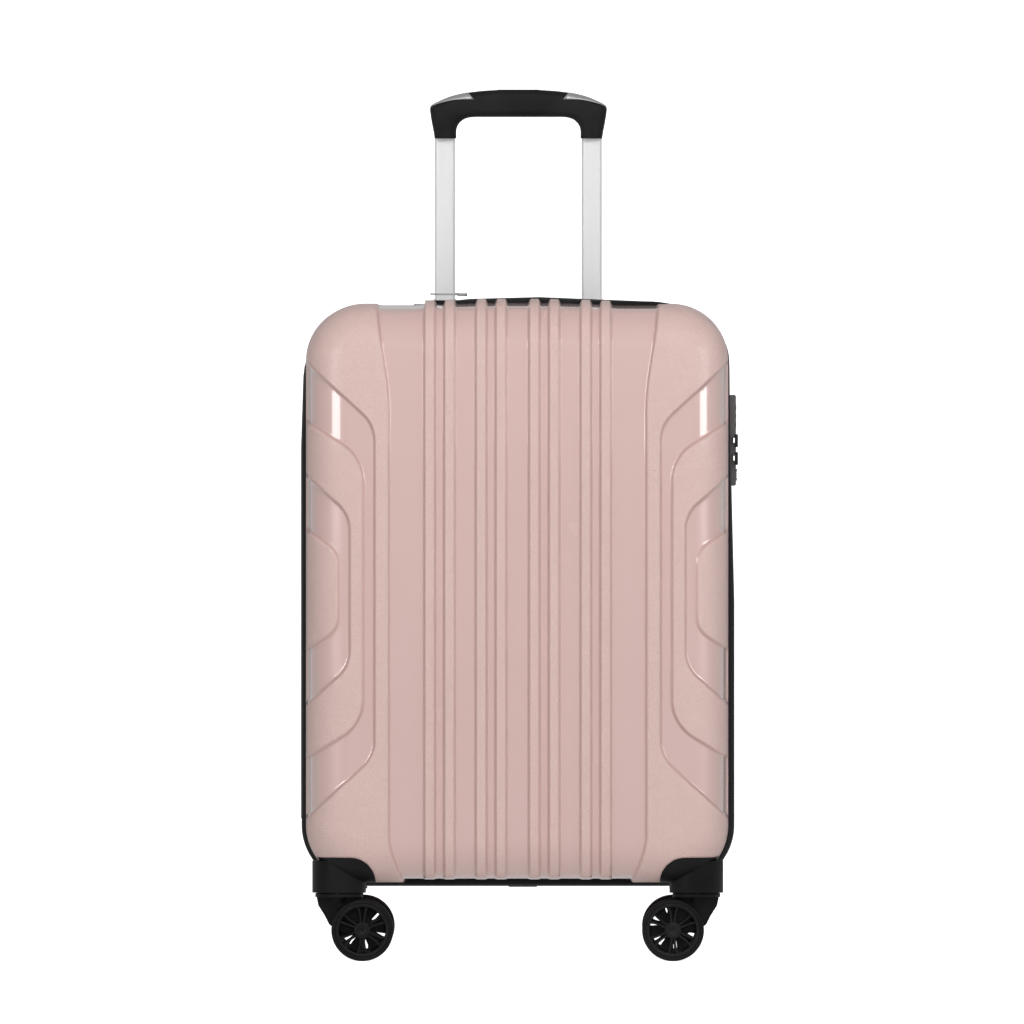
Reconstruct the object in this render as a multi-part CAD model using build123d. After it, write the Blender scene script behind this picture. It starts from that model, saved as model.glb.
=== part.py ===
"""Hard shell cabin suitcase on four swivelling twin casters, with a two-stage trolley handle.

Frame: +Z up, +X to the right, the front shell faces -Y. The origin is on the floor, midway
between the wheels. All sizes are in millimetres.
"""

from build123d import *
import os
from math import cos, radians, sin, tan

# ---------------------------------------------------------------- case
CASE_WIDTH = 353.0  # raised surface of the shells, side to side
CASE_BOTTOM = 64.4  # lowest point of the shells above the floor
CASE_HEIGHT = 486.3
CASE_DEPTH = 225.0  # front face to rear face
CORNER_R = 48.0  # corners of the front view
FACE_EDGE_R = 35.0  # rounding between a shell's face and its walls
DRAFT_DEG = 2.0
SHELL_WALL = 2.0
RELIEF = 2.5  # depth of the glossy fields below the raised panels
RIB_PROUD = 1.0  # rib tops above the raised panels

# ---------------------------------------------------------------- zip band
TAPE_PROUD = 5.0  # bindings stand this far outside the shells
TAPE_PROUD_BELOW = 3.0  # and this far below them
BINDING_LAP = 4.0  # binding over the outside of a shell's edge
BINDING_LIP = 6.0  # binding in front of a shell's edge
BINDING_INNER = 5.0  # binding inside the shell's outer surface
ZIP_GAP = 1.0  # closed zip, between two bindings
MIDDLE_BAND = 10.0  # strip between the main zip and the expander zip
REAR_BINDING_START = 3.0  # rear side of the main zip
GUSSET_WALL = 1.2
SEWN_CLEARANCE = 0.3

# ---------------------------------------------------------------- relief pattern on each shell
FIELD_TOP_HALF = 117.0  # central field, half width at the top edge
FIELD_HALF = 107.5
FIELD_BOTTOM_HALF = 93.5
FIELD_UPPER_BEND = 80.7  # below the top of the case
FIELD_LOWER_BEND = 38.6  # above the bottom of the case
FIELD_BEND_R = 60.0
RIB_OFFSETS = (13.9, 30.5, 57.0, 73.6)
RIB_WIDTH = 9.0
RIB_FOOT = 3.0  # ribs stop this far above the bottom of the case
CHEVRON_CENTRE = 246.1  # above the bottom of the case
# height at the side edge, inner edge, height at the inner edge, corner radius
CHEVRONS = (
    (191.0, 119.8, 138.6, 30.0),
    (141.5, 129.0, 111.5, 38.0),
    (96.0, 140.4, 64.0, 30.0),
    (51.0, 149.7, 33.0, 20.0),
)

# ---------------------------------------------------------------- casters
SWIVEL_INSET = (27.0, 37.5)  # from the side and the face of the case to the swivel axis
TRAIL = 19.5  # swivel axis to wheel axis
WHEEL_R = 26.0
TYRE_WIDTH = 10.0
TYRE_THICKNESS = 3.4
RIM_WIDTH = 9.0
RIM_RING = 3.9
HUB_R = 6.8
SPOKES = 12
SPOKE_WIDTH = 1.8
SPOKE_DEPTH = 6.0
AXLE_R = 3.0
FORK_WEB = 9.0
FORK_HUB_R = 8.5
WHEEL_SIDE_GAP = 0.5
FORK_PLATE_R = 20.0
FORK_PLATE_T = 3.2
SWIVEL_GAP = 0.5
KINGPIN_R = 3.5
FORK_BOSS_R = 7.0
FORK_BOSS_DROP = 4.1
KINGPIN_IN_FORK = 10.3
RUNNING = 0.05
PRESS_SLACK = 0.02
HOUSING_REACH = 30.6  # from the swivel axis towards the middle of the case
HOUSING_TOP = 87.0
HOUSING_INNER_R = 21.0
HOUSING_SIDE = 28.0  # from the swivel axis to the housing's side towards the zip
HOUSING_PROUD = 0.9
HOUSING_WALL = 4.5
BOSS_R = 22.5
BOSS_BOTTOM = 57.3
BOSS_TOP = 84.0
BOSS_WALL = 3.5
BOSS_FLOOR = 4.7
KINGPIN_TUBE_R = 8.0
SCREW_R = 1.5
SCREW_HEAD_R = 3.0
SCREW_HEAD_T = 2.5
SEAT_SINK = 0.2  # spot face under a screw head
SCREW_STEPS = (-22.0, -10.0, 2.0)  # screws along Y from the swivel axis
SCREW_INSET = 3.7  # from the housing's inner side

# ---------------------------------------------------------------- trolley handle
TUBE_X = 61.8
TUBE_INSET = 15.0  # from the rear face to the tubes' axis
INNER_TUBE = (16.9, 10.5)
TUBE_WALL = 1.0
TUBE_SLIP = 0.3
TUBE_CORNER_R = 2.5
OUTER_TUBE_WALL = 1.2
INNER_TUBE_BOTTOM = 240.0
MID_TUBE_BOTTOM = 97.0
MID_TUBE_RISE = 2.3  # above the top of the case
OUTER_TUBE_BOTTOM = 94.0
OUTER_TUBE_DROP = 3.7  # below the top of the case
HANDLE_OUT = 137.6  # foot of the grip above the top of the case
GRIP_HEIGHT = 41.2
GRIP_SHOULDER_RISE = 28.4  # above the grip's foot
GRIP_UNDERSIDE_RISE = 18.0
GRIP_HALF = 74.5
GRIP_LEG_OUTER = 70.6
GRIP_LEG_INNER = 52.2
GRIP_ARCH_R = 17.0
GRIP_DEPTH = 24.0
GRIP_EDGE_R = 4.0
INLAY_LENGTH = 30.0
INLAY_DEPTH = 12.0
INLAY_T = 1.6
TUBE_IN_GRIP = 14.7
BUTTON = (36.0, 13.0, 5.0)
BUTTON_TRAVEL = 4.0
BUTTON_GAP = 0.3
ROD_R = 2.0
ROD_BOTTOM = 260.0
LINK = (5.0, 4.0)
LINK_RISE = 23.7  # above the grip's foot
NECK = 4.0  # half width of the stem under the button
BEZEL_HALF = 88.0
BEZEL_DEPTH = 28.0  # from the rear face
BEZEL_DROP = 34.7  # its lower edge below the top of the case
BEZEL_PROUD = 1.3
FOOT_HALF = 80.0
FOOT_HEIGHT = 12.0

# ---------------------------------------------------------------- top carry handle
CUP = (156.0, 62.0, 23.2)
CUP_INSET = 65.5  # from the rear face to the middle of the cup
CUP_RISE = 1.5  # above the top of the case
CUP_WALL = 6.0
CUP_FLOOR = 2.0
CUP_FLANGE_T = 8.2
BAIL = (132.0, 20.0, 8.0)
BAIL_LEG = (10.0, 12.0)
BAIL_STOP = (14.0, 16.0, 3.0)
BAIL_LIFT = 8.5
BAIL_GAP = 0.5
LEG_GAP = 0.3

# ---------------------------------------------------------------- lock on the right side
LOCK_PROUD = 6.5  # outer face of the lock outside the case
LOCK_SUNK = 4.9  # and its inner face inside
LOCK_Y = (19.3, 43.0)
LOCK_Z = (396.7, 473.0)
LOCK_NOTCHES = (419.8, 434.8)
NOTCH_WIDTH = 4.2
NOTCH_DEPTH = 2.2
DIAL_R = 5.6
DIAL_T = 5.0
DIAL_PITCH = 7.0
DIAL_FIRST_Z = 448.0
DIAL_Y = 31.0
DIAL_PROUD = 0.3
DIAL_GAP = 0.4
DIAL_SHAFT_R = 1.5
CYLINDER_R = 4.0
CYLINDER_Z = 407.0
CYLINDER_Y = 36.5
RELEASE = (5.0, 6.0, 10.0)
RELEASE_Y = 25.5
RELEASE_Z = 406.0
RELEASE_TRAVEL = 3.0

# ---------------------------------------------------------------- zip sliders
SLIDER_T = 2.8
SLIDER_LENGTH = 11.0
SLIDER_WIDTH = 8.0
SLIDER_LIFT = 0.3
PULL_T = 1.6
PULL_WIDTH = 6.0
MAIN_PULL_LENGTH = 11.3
EXPANDER_PULL_LENGTH = 22.0
PULL_PIN_R = 0.5
PULL_PIN_SLIP = 0.06
EAR_T = 1.2
EAR_GAP = 0.4
EXPANDER_SLIDER_X = -46.6

# ---------------------------------------------------------------- lining and straps
LINING_WALL = 0.8
LINING_GAP = 0.4
LINING_START = 0.3
REAR_LINING_INSET = 24.5  # from the rear face, clear of the trolley tubes
REAR_LINING_DROP = 38.7  # below the top of the case
REAR_LINING_EDGE_R = 12.0
BUMP_MARGIN = 4.0
POCKET_HALF = 120.0
POCKET_Z = (120.0, 480.0)
POCKET_T = 0.8
STRAP_WIDTH = 25.0
STRAP_T = 2.0
STRAP_HALF = 118.0
STRAP_Z = (112.0, 488.0)
BUCKLE = (44.0, 6.0, 28.0)
COVER_X = (-8.0, 16.0)
COVER_T = 1.2
HINGE_STRIP_T = 1.2
HINGE_STRIP_Z = (118.0, 498.0)
HINGE_STRIP_Y = (-7.0, 12.0)

# ---------------------------------------------------------------- sizes that follow
CASE_TOP = CASE_BOTTOM + CASE_HEIGHT
HALF_WIDTH = CASE_WIDTH / 2
FACE_Y = CASE_DEPTH / 2
SWIVEL_X = HALF_WIDTH - SWIVEL_INSET[0]
SWIVEL_Y = FACE_Y - SWIVEL_INSET[1]
HOUSING_INNER_X = SWIVEL_X - HOUSING_REACH
HOUSING_Y = SWIVEL_Y - HOUSING_SIDE
SCREW_X = HOUSING_INNER_X + SCREW_INSET
SCREW_Y = tuple(SWIVEL_Y + step for step in SCREW_STEPS)
TUBE_Y = FACE_Y - TUBE_INSET
MID_TUBE_TOP = CASE_TOP + MID_TUBE_RISE
OUTER_TUBE_TOP = CASE_TOP - OUTER_TUBE_DROP
GRIP_LEG_BOTTOM = CASE_TOP + HANDLE_OUT
GRIP_TOP = GRIP_LEG_BOTTOM + GRIP_HEIGHT
GRIP_SHOULDER = GRIP_LEG_BOTTOM + GRIP_SHOULDER_RISE
GRIP_UNDERSIDE = GRIP_LEG_BOTTOM + GRIP_UNDERSIDE_RISE
LINK_BOTTOM = GRIP_LEG_BOTTOM + LINK_RISE
BEZEL_START_Y = FACE_Y - BEZEL_DEPTH
BEZEL_BOTTOM = CASE_TOP - BEZEL_DROP
CUP_Y = FACE_Y - CUP_INSET
CUP_TOP = CASE_TOP + CUP_RISE
LOCK_X = HALF_WIDTH + LOCK_PROUD
LOCK_INNER_X = HALF_WIDTH - LOCK_SUNK
REAR_LINING_Y = FACE_Y - REAR_LINING_INSET
REAR_LINING_TOP = CASE_TOP - REAR_LINING_DROP
REAR_EDGE = REAR_BINDING_START + BINDING_LIP
MAIN_ZIP_Y = REAR_BINDING_START - ZIP_GAP / 2
BAND_REAR = REAR_BINDING_START - ZIP_GAP
BAND_FRONT = BAND_REAR - MIDDLE_BAND
FRONT_BINDING_END = BAND_FRONT - ZIP_GAP
EXPANDER_ZIP_Y = BAND_FRONT - ZIP_GAP / 2
FRONT_EDGE = FRONT_BINDING_END - BINDING_LIP
FULL_WALL = SHELL_WALL + RELIEF
BAND_HALF = HALF_WIDTH + TAPE_PROUD
BAND_TOP = CASE_TOP + TAPE_PROUD
BAND_BOTTOM = CASE_BOTTOM - TAPE_PROUD_BELOW
MID_TUBE = tuple(s + 2 * (TUBE_SLIP + TUBE_WALL) for s in INNER_TUBE)
OUTER_TUBE = tuple(s + 2 * (TUBE_SLIP + OUTER_TUBE_WALL) for s in MID_TUBE)
FAR = 400.0  # past everything that a cutting block has to clear

os.makedirs("parts", exist_ok=True)


def save(name, *shapes):
    """Write one named piece, or one group of like pieces, as a STEP file."""
    solids = [solid for shape in shapes for solid in shape.solids()]
    export_step(Compound(children=solids) if len(solids) > 1 else solids[0], f"parts/{name}.step")
    print(f"{name}: {len(solids)} solid(s), {sum(s.volume for s in solids) / 1000:.2f} cm3")


def block(x, y, z):
    """Box between the given low and high values on each axis."""
    size = [high - low for low, high in (x, y, z)]
    centre = [(high + low) / 2 for low, high in (x, y, z)]
    return Pos(*centre) * Box(*size)


def rod(centre, axis, radius, length):
    """Cylinder about its centre, along the named axis."""
    turn = {"X": Rot(0, 90, 0), "Y": Rot(90, 0, 0), "Z": Rot(0, 0, 0)}[axis]
    return Pos(*centre) * turn * Cylinder(radius, length)


def sides(x):
    """The low and high of a span that is wholly on one side, whatever its sign."""
    return (min(x), max(x))


# ================================================================ shells


def form(side, grow, edge_y, face_y=FACE_Y, edge_r=FACE_EDGE_R, top=CASE_TOP):
    """Solid tub: a drafted rounded rectangle from its open edge to its rounded closed face."""
    height = top - CASE_BOTTOM + 2 * grow
    plane = Plane(
        origin=(0, edge_y, (top + CASE_BOTTOM) / 2), x_dir=(1, 0, 0), z_dir=(0, side, 0)
    )
    outline = plane * RectangleRounded(CASE_WIDTH + 2 * grow, height, CORNER_R + grow)
    tub = extrude(outline, abs(side * face_y - edge_y) + grow, taper=DRAFT_DEG)
    closed = tub.faces().sort_by(Axis.Y)[-1 if side > 0 else 0]
    return fillet(closed.edges(), edge_r + grow)


def chevron(at_side, inner_x, at_inner, radius):
    """Trapezoid that opens over the right edge of the case, its two inner corners rounded."""
    outline = Polyline(
        (FAR, at_side),
        (HALF_WIDTH, at_side),
        (inner_x, at_inner),
        (inner_x, -at_inner),
        (HALF_WIDTH, -at_side),
        (FAR, -at_side),
        close=True,
    )
    face = make_face(outline)
    inner = [v for v in face.vertices() if abs(v.X - inner_x) < 0.01]
    return fillet(inner, radius)


def relief_fields():
    """The glossy fields seen from the front: the central field and two channels a side."""
    upper = CASE_TOP - FIELD_UPPER_BEND
    lower = CASE_BOTTOM + FIELD_LOWER_BEND
    right = [
        (FIELD_TOP_HALF, FAR * 2),
        (FIELD_TOP_HALF, CASE_TOP),
        (FIELD_HALF, upper),
        (FIELD_HALF, lower),
        (FIELD_BOTTOM_HALF, CASE_BOTTOM),
        (FIELD_BOTTOM_HALF, 0),
    ]
    left = [(-x, z) for x, z in reversed(right)]
    field = make_face(Polyline(*right, *left, close=True))
    bends = [v for v in field.vertices() if abs(abs(v.X) - FIELD_HALF) < 0.01]
    field = fillet(bends, FIELD_BEND_R)
    outer, second, third, island = [chevron(*c) for c in CHEVRONS]
    channels = Pos(0, CASE_BOTTOM + CHEVRON_CENTRE) * ((outer - second) + (third - island))
    return [field, channels, channels.mirror(Plane.YZ)]


def relief_prism():
    return [
        extrude(Plane.XZ * face, FAR / 2, both=True)
        for field in relief_fields()
        for face in field.faces()
    ]


def rib_slabs():
    reach = (CASE_BOTTOM + RIB_FOOT, CASE_TOP + FAR)
    return [
        block((s * x - RIB_WIDTH / 2, s * x + RIB_WIDTH / 2), (-FAR, FAR), reach)
        for x in RIB_OFFSETS
        for s in (-1, 1)
    ]


def pressed_shell(side, edge_y):
    """One half of the case, with the raised panels and ribs standing over the glossy fields."""
    base = form(side, -RELIEF, edge_y)
    panels = form(side, 0, edge_y)
    for prism in relief_prism():
        panels -= prism
    ribs = form(side, RIB_PROUD, edge_y)
    ribs = [ribs & slab for slab in rib_slabs()]
    shell = base + panels
    for rib in ribs:
        shell += rib
    return shell - form(side, -FULL_WALL, edge_y)


# ================================================================ casters


def corner_region(side, hand, margin=0.0):
    """Prism through one bottom corner that belongs to the caster's housing."""
    height = HOUSING_TOP + margin
    x_in = HOUSING_INNER_X - margin
    outline = make_face(
        Polyline((x_in, 0), (FAR, 0), (FAR, height), (x_in, height), close=True)
    )
    corner = [v for v in outline.vertices() if abs(v.X - x_in) < 0.01 and v.Y > 1]
    outline = fillet(corner, HOUSING_INNER_R)
    prism = extrude(Plane.XZ * outline, FAR)
    if side > 0:
        prism = prism.mirror(Plane.XZ)
    if hand < 0:
        prism = prism.mirror(Plane.YZ)
    near = HOUSING_Y - margin
    return prism & block((-FAR, FAR), sides((side * near, side * FAR)), (0, FAR))


def housing(side, hand, edge_y):
    """Moulded corner bracket: a cap over the corner, with the boss that holds the kingpin."""
    x, y = hand * SWIVEL_X, side * SWIVEL_Y
    cap = form(side, HOUSING_PROUD, edge_y) - form(side, -HOUSING_WALL, edge_y)
    cap = cap & corner_region(side, hand)
    height = BOSS_TOP - BOSS_BOTTOM
    boss = rod((x, y, BOSS_BOTTOM + height / 2), "Z", BOSS_R, height)
    deep = height - BOSS_FLOOR
    hollow = rod((x, y, BOSS_TOP - deep / 2), "Z", BOSS_R - BOSS_WALL, deep)
    hollow -= rod((x, y, BOSS_TOP - deep / 2), "Z", KINGPIN_TUBE_R, deep)
    body = cap + boss - hollow
    body -= rod((x, y, BOSS_TOP), "Z", KINGPIN_R, FAR / 4)
    head_room = KINGPIN_TUBE_R - 2 + SEAT_SINK
    body -= rod((x, y, BOSS_TOP + HOUSING_TOP / 2), "Z", head_room, HOUSING_TOP)
    for screw_y in SCREW_Y:
        centre = (hand * SCREW_X, side * screw_y)
        seat = screw_seat(side, screw_y)
        body -= rod((*centre, CASE_BOTTOM), "Z", SCREW_R, 4 * HOUSING_WALL)
        body -= rod((*centre, seat + SCREW_HEAD_T), "Z", SCREW_HEAD_R + SEAT_SINK, 2 * SCREW_HEAD_T)
    return body


def screw_seat(side, screw_y):
    """Height of a screw's seat on the housing's sloping floor."""
    edge = REAR_EDGE if side > 0 else -FRONT_EDGE
    return CASE_BOTTOM + HOUSING_WALL + (screw_y - edge) * tan(radians(DRAFT_DEG)) - SEAT_SINK


def kingpin(side, hand):
    low = BOSS_BOTTOM - SWIVEL_GAP - KINGPIN_IN_FORK
    x, y = hand * SWIVEL_X, side * SWIVEL_Y
    shank = rod((x, y, (low + BOSS_TOP) / 2), "Z", KINGPIN_R, BOSS_TOP - low)
    head_t = SCREW_HEAD_T
    return shank + rod((x, y, BOSS_TOP + head_t / 2), "Z", KINGPIN_TUBE_R - 2, head_t)


def housing_screws(side, hand):
    screws = []
    for screw_y in SCREW_Y:
        x, y = hand * SCREW_X, side * screw_y
        seat = screw_seat(side, screw_y)
        head = rod((x, y, seat + SCREW_HEAD_T / 2), "Z", SCREW_HEAD_R, SCREW_HEAD_T)
        shank = rod((x, y, seat - HOUSING_WALL / 2), "Z", SCREW_R, HOUSING_WALL)
        slot = Box(0.8, 2 * SCREW_HEAD_R - 1, 2)
        screws.append(head + shank - Pos(x, y, seat + SCREW_HEAD_T) * slot)
    return screws


def fork(side, hand):
    """Swivelling arm between the two wheels, built for the right side and mirrored."""
    y = side * SWIVEL_Y
    wheel_x = SWIVEL_X - TRAIL
    plate_top = BOSS_BOTTOM - SWIVEL_GAP
    plate_low = plate_top - FORK_PLATE_T
    outline = make_face(
        Polyline(
            (SWIVEL_X + FORK_PLATE_R - 1, plate_low + 1),
            (SWIVEL_X + FORK_PLATE_R - 2.6, plate_low - 7.1),
            (SWIVEL_X + 12, plate_low - 15.6),
            (SWIVEL_X + 8, plate_low - 23.6),
            (wheel_x, WHEEL_R - FORK_HUB_R),
            (wheel_x - FORK_HUB_R, WHEEL_R),
            (SWIVEL_X - FORK_PLATE_R + 1.5, plate_low + 1),
            close=True,
        )
    )
    bends = [v for v in outline.vertices() if SWIVEL_X < v.X < SWIVEL_X + FORK_PLATE_R - 2]
    outline = fillet(bends, 5)
    web = extrude(Plane.XZ * outline, FORK_WEB / 2, both=True).moved(Location((0, y, 0)))
    arm = web + rod((wheel_x, y, WHEEL_R), "Y", FORK_HUB_R, FORK_WEB)
    arm += rod((SWIVEL_X, y, plate_top - FORK_PLATE_T / 2), "Z", FORK_PLATE_R, FORK_PLATE_T)
    arm += rod((SWIVEL_X, y, plate_low - FORK_BOSS_DROP / 2), "Z", FORK_BOSS_R, FORK_BOSS_DROP)
    bore = KINGPIN_IN_FORK + SWIVEL_GAP
    arm -= rod((SWIVEL_X, y, plate_top - bore / 2), "Z", KINGPIN_R + RUNNING, bore + 0.01)
    arm -= rod((wheel_x, y, WHEEL_R), "Y", AXLE_R + RUNNING, FORK_WEB * 2)
    return arm if hand > 0 else arm.mirror(Plane.YZ)


def wheel_places(side, hand):
    """Centres of the two wheels of a caster."""
    x = hand * (SWIVEL_X - TRAIL)
    apart = FORK_WEB / 2 + WHEEL_SIDE_GAP + TYRE_WIDTH / 2
    return [(x, side * SWIVEL_Y + s * apart, WHEEL_R) for s in (-1, 1)]


def rim(centre):
    """Spoked rim in its own tyre, with its hub bored for the axle."""
    outer = WHEEL_R - TYRE_THICKNESS
    wheel = rod((0, 0, 0), "Z", outer, RIM_WIDTH) - rod((0, 0, 0), "Z", outer - RIM_RING, FAR)
    wheel += rod((0, 0, 0), "Z", HUB_R, RIM_WIDTH)
    reach = outer - RIM_RING / 2 - HUB_R / 2
    for i in range(SPOKES):
        spoke = Pos(HUB_R / 2 + reach / 2, 0, 0) * Box(reach, SPOKE_WIDTH, SPOKE_DEPTH)
        wheel += Rot(0, 0, i * 360 / SPOKES) * spoke
    wheel -= rod((0, 0, 0), "Z", AXLE_R + PRESS_SLACK, FAR)
    return Pos(*centre) * Rot(90, 0, 0) * wheel


def tyre(centre):
    ring = rod((0, 0, 0), "Z", WHEEL_R, TYRE_WIDTH)
    ring = fillet(ring.edges().filter_by(GeomType.CIRCLE), TYRE_WIDTH / 5)
    ring -= rod((0, 0, 0), "Z", WHEEL_R - TYRE_THICKNESS + PRESS_SLACK, FAR)
    return Pos(*centre) * Rot(90, 0, 0) * ring


def axle(side, hand):
    length = FORK_WEB + 2 * (WHEEL_SIDE_GAP + TYRE_WIDTH) - 2
    return rod((hand * (SWIVEL_X - TRAIL), side * SWIVEL_Y, WHEEL_R), "Y", AXLE_R, length)


# ================================================================ zip band, lining, straps


def ring(y_low, y_high, outer_grow, inner_grow):
    """Band round the case between two outlines that are offset from the shells' outline."""

    def outline(grow):
        top = CASE_TOP + grow
        bottom = max(CASE_BOTTOM - grow, BAND_BOTTOM)
        face = RectangleRounded(CASE_WIDTH + 2 * grow, top - bottom, CORNER_R + grow)
        plane = Plane(origin=(0, y_high, (top + bottom) / 2), x_dir=(1, 0, 0), z_dir=(0, -1, 0))
        return extrude(plane * face, y_high - y_low)

    return outline(outer_grow) - outline(inner_grow)


def binding(side, lip_y, edge_y):
    """Sewn binding, an angle in section: over the shell's outside and in front of its edge."""
    lip = ring(*sides((lip_y, edge_y)), TAPE_PROUD, -BINDING_INNER)
    lap = ring(*sides((edge_y, edge_y + side * BINDING_LAP)), TAPE_PROUD, RIB_PROUD)
    return lip + lap


def lining(side, edge_y, face_y, edge_r, top):
    """Thin fabric tray inside a shell, folded over the two caster housings."""
    start = edge_y + side * LINING_START
    outer = form(side, -FULL_WALL - LINING_GAP, start, face_y, edge_r, top)
    inner = form(side, -FULL_WALL - LINING_GAP - LINING_WALL, start, face_y, edge_r, top)
    for hand in (-1, 1):
        outer -= corner_region(side, hand, BUMP_MARGIN)
        inner -= corner_region(side, hand, BUMP_MARGIN + LINING_WALL)
    return outer - inner


def strap_cross(y_back):
    """Two webbing straps laid as a cross on the back of the rear lining."""
    half_z = (STRAP_Z[1] - STRAP_Z[0]) / 2
    mid_z = (STRAP_Z[1] + STRAP_Z[0]) / 2
    length = 2 * (STRAP_HALF**2 + half_z**2) ** 0.5
    lean = 90 - Vector(STRAP_HALF, half_z).get_angle(Vector(1, 0))
    straps = [
        Pos(0, y_back - STRAP_T / 2, mid_z) * Rot(0, s * lean, 0) * Box(STRAP_WIDTH, STRAP_T, length)
        for s in (-1, 1)
    ]
    return straps[0] + straps[1]


# ================================================================ trolley


def tube(x, size, wall, z_low, z_high):
    outer = RectangleRounded(*size, TUBE_CORNER_R + (size[0] - INNER_TUBE[0]) / 2)
    bore = [s - 2 * wall for s in size]
    inner = RectangleRounded(*bore, TUBE_CORNER_R + (size[0] - INNER_TUBE[0]) / 2 - wall)
    plane = Plane(origin=(x, TUBE_Y, z_low))
    return extrude(plane * (outer - inner), z_high - z_low)


def tube_space(x, size, gap, z_low, z_high):
    """Solid post that clears a tube of the given size by the gap."""
    grown = [s + 2 * gap for s in size]
    face = RectangleRounded(*grown, TUBE_CORNER_R + (size[0] - INNER_TUBE[0]) / 2 + gap)
    return extrude(Plane(origin=(x, TUBE_Y, z_low)) * face, z_high - z_low)


def grip_solid():
    """Arched hand grip with a leg over the top of each inner tube."""
    right = [
        (GRIP_LEG_OUTER, GRIP_LEG_BOTTOM),
        (GRIP_HALF, GRIP_SHOULDER - 4),
        (GRIP_HALF, GRIP_SHOULDER),
    ]
    crown = [(GRIP_HALF * 0.74, GRIP_TOP - 5.2), (0, GRIP_TOP), (-GRIP_HALF * 0.74, GRIP_TOP - 5.2)]
    left = [(-x, z) for x, z in reversed(right)]
    arch_z = GRIP_UNDERSIDE - GRIP_ARCH_R
    arch_x = GRIP_LEG_INNER - GRIP_ARCH_R
    outline = Wire(
        [
            Polyline(*right).edges()[0],
            Polyline(*right).edges()[1],
            Spline(right[-1], *crown, left[0]).edge(),
            Polyline(*left).edges()[0],
            Polyline(*left).edges()[1],
            Line(left[-1], (-GRIP_LEG_INNER, GRIP_LEG_BOTTOM)).edge(),
            Line((-GRIP_LEG_INNER, GRIP_LEG_BOTTOM), (-GRIP_LEG_INNER, arch_z)).edge(),
            RadiusArc((-GRIP_LEG_INNER, arch_z), (-arch_x, GRIP_UNDERSIDE), GRIP_ARCH_R).edge(),
            Line((-arch_x, GRIP_UNDERSIDE), (arch_x, GRIP_UNDERSIDE)).edge(),
            RadiusArc((arch_x, GRIP_UNDERSIDE), (GRIP_LEG_INNER, arch_z), GRIP_ARCH_R).edge(),
            Line((GRIP_LEG_INNER, arch_z), (GRIP_LEG_INNER, GRIP_LEG_BOTTOM)).edge(),
            Line((GRIP_LEG_INNER, GRIP_LEG_BOTTOM), right[0]).edge(),
        ]
    )
    plane = Plane(origin=(0, TUBE_Y, 0), x_dir=(1, 0, 0), z_dir=(0, -1, 0))
    return extrude(plane * Face(outline), GRIP_DEPTH / 2, both=True)


# ================================================================ zip sliders


def zip_slider(pull_length):
    """Slider and its pull, made lying on the XY plane: the zip runs along X, the pull along +Y."""
    top = SLIDER_LIFT + SLIDER_T
    body = block(
        (-SLIDER_LENGTH / 2, SLIDER_LENGTH / 2),
        (-SLIDER_WIDTH / 2, SLIDER_WIDTH / 2),
        (SLIDER_LIFT, top),
    )
    body = fillet(body.edges().filter_by(Axis.Z), 2)
    body = fillet(body.faces().sort_by(Axis.Z)[-1].edges(), 0.8)
    pin_y = SLIDER_WIDTH / 2 + 1
    pin_z = top - PULL_T / 2 - 0.2
    inner = PULL_WIDTH / 2 + EAR_GAP
    for s in (-1, 1):
        ear = block(
            sides((s * inner, s * (inner + EAR_T))), (SLIDER_WIDTH / 2 - 1, pin_y + 1), (1, top)
        )
        body += ear
    pin = rod((0, pin_y, pin_z), "X", PULL_PIN_R, 2 * inner + EAR_T)
    end = pin_y + pull_length
    pull = block(
        (-PULL_WIDTH / 2, PULL_WIDTH / 2), (pin_y, end), (pin_z - PULL_T / 2, pin_z + PULL_T / 2)
    )
    pull = fillet(pull.edges().filter_by(Axis.Z).sort_by(Axis.Y)[-2:], PULL_WIDTH / 3)
    pull += rod((0, pin_y, pin_z), "X", PULL_T / 2, PULL_WIDTH)
    pull -= rod((0, pin_y, pin_z), "X", PULL_PIN_R + PULL_PIN_SLIP, FAR)
    pull -= rod((0, end - PULL_WIDTH / 2 - 0.6, pin_z), "Z", 1.2, FAR)
    return body + pin, pull


# ================================================================ the two halves

rear_shell = pressed_shell(1, REAR_EDGE)
front_shell = pressed_shell(-1, FRONT_EDGE)
casters = [(side, hand) for side in (-1, 1) for hand in (-1, 1)]
for side, hand in casters:
    if side > 0:
        rear_shell -= corner_region(side, hand)
    else:
        front_shell -= corner_region(side, hand)

bezel_block = block((-BEZEL_HALF, BEZEL_HALF), (BEZEL_START_Y, FAR), (BEZEL_BOTTOM, FAR * 2))
cup_low = CUP_TOP - CUP_FLANGE_T
cup_x, cup_y = CUP[0] / 2, CUP[1] / 2
rear_shell -= bezel_block
rear_shell -= block((-cup_x, cup_x), (CUP_Y - cup_y, CUP_Y + cup_y), (cup_low - 4, FAR * 2))
rear_shell -= block((LOCK_INNER_X - 4, FAR), LOCK_Y, LOCK_Z)
save("rear_shell", rear_shell)
save("front_shell", front_shell)

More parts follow.
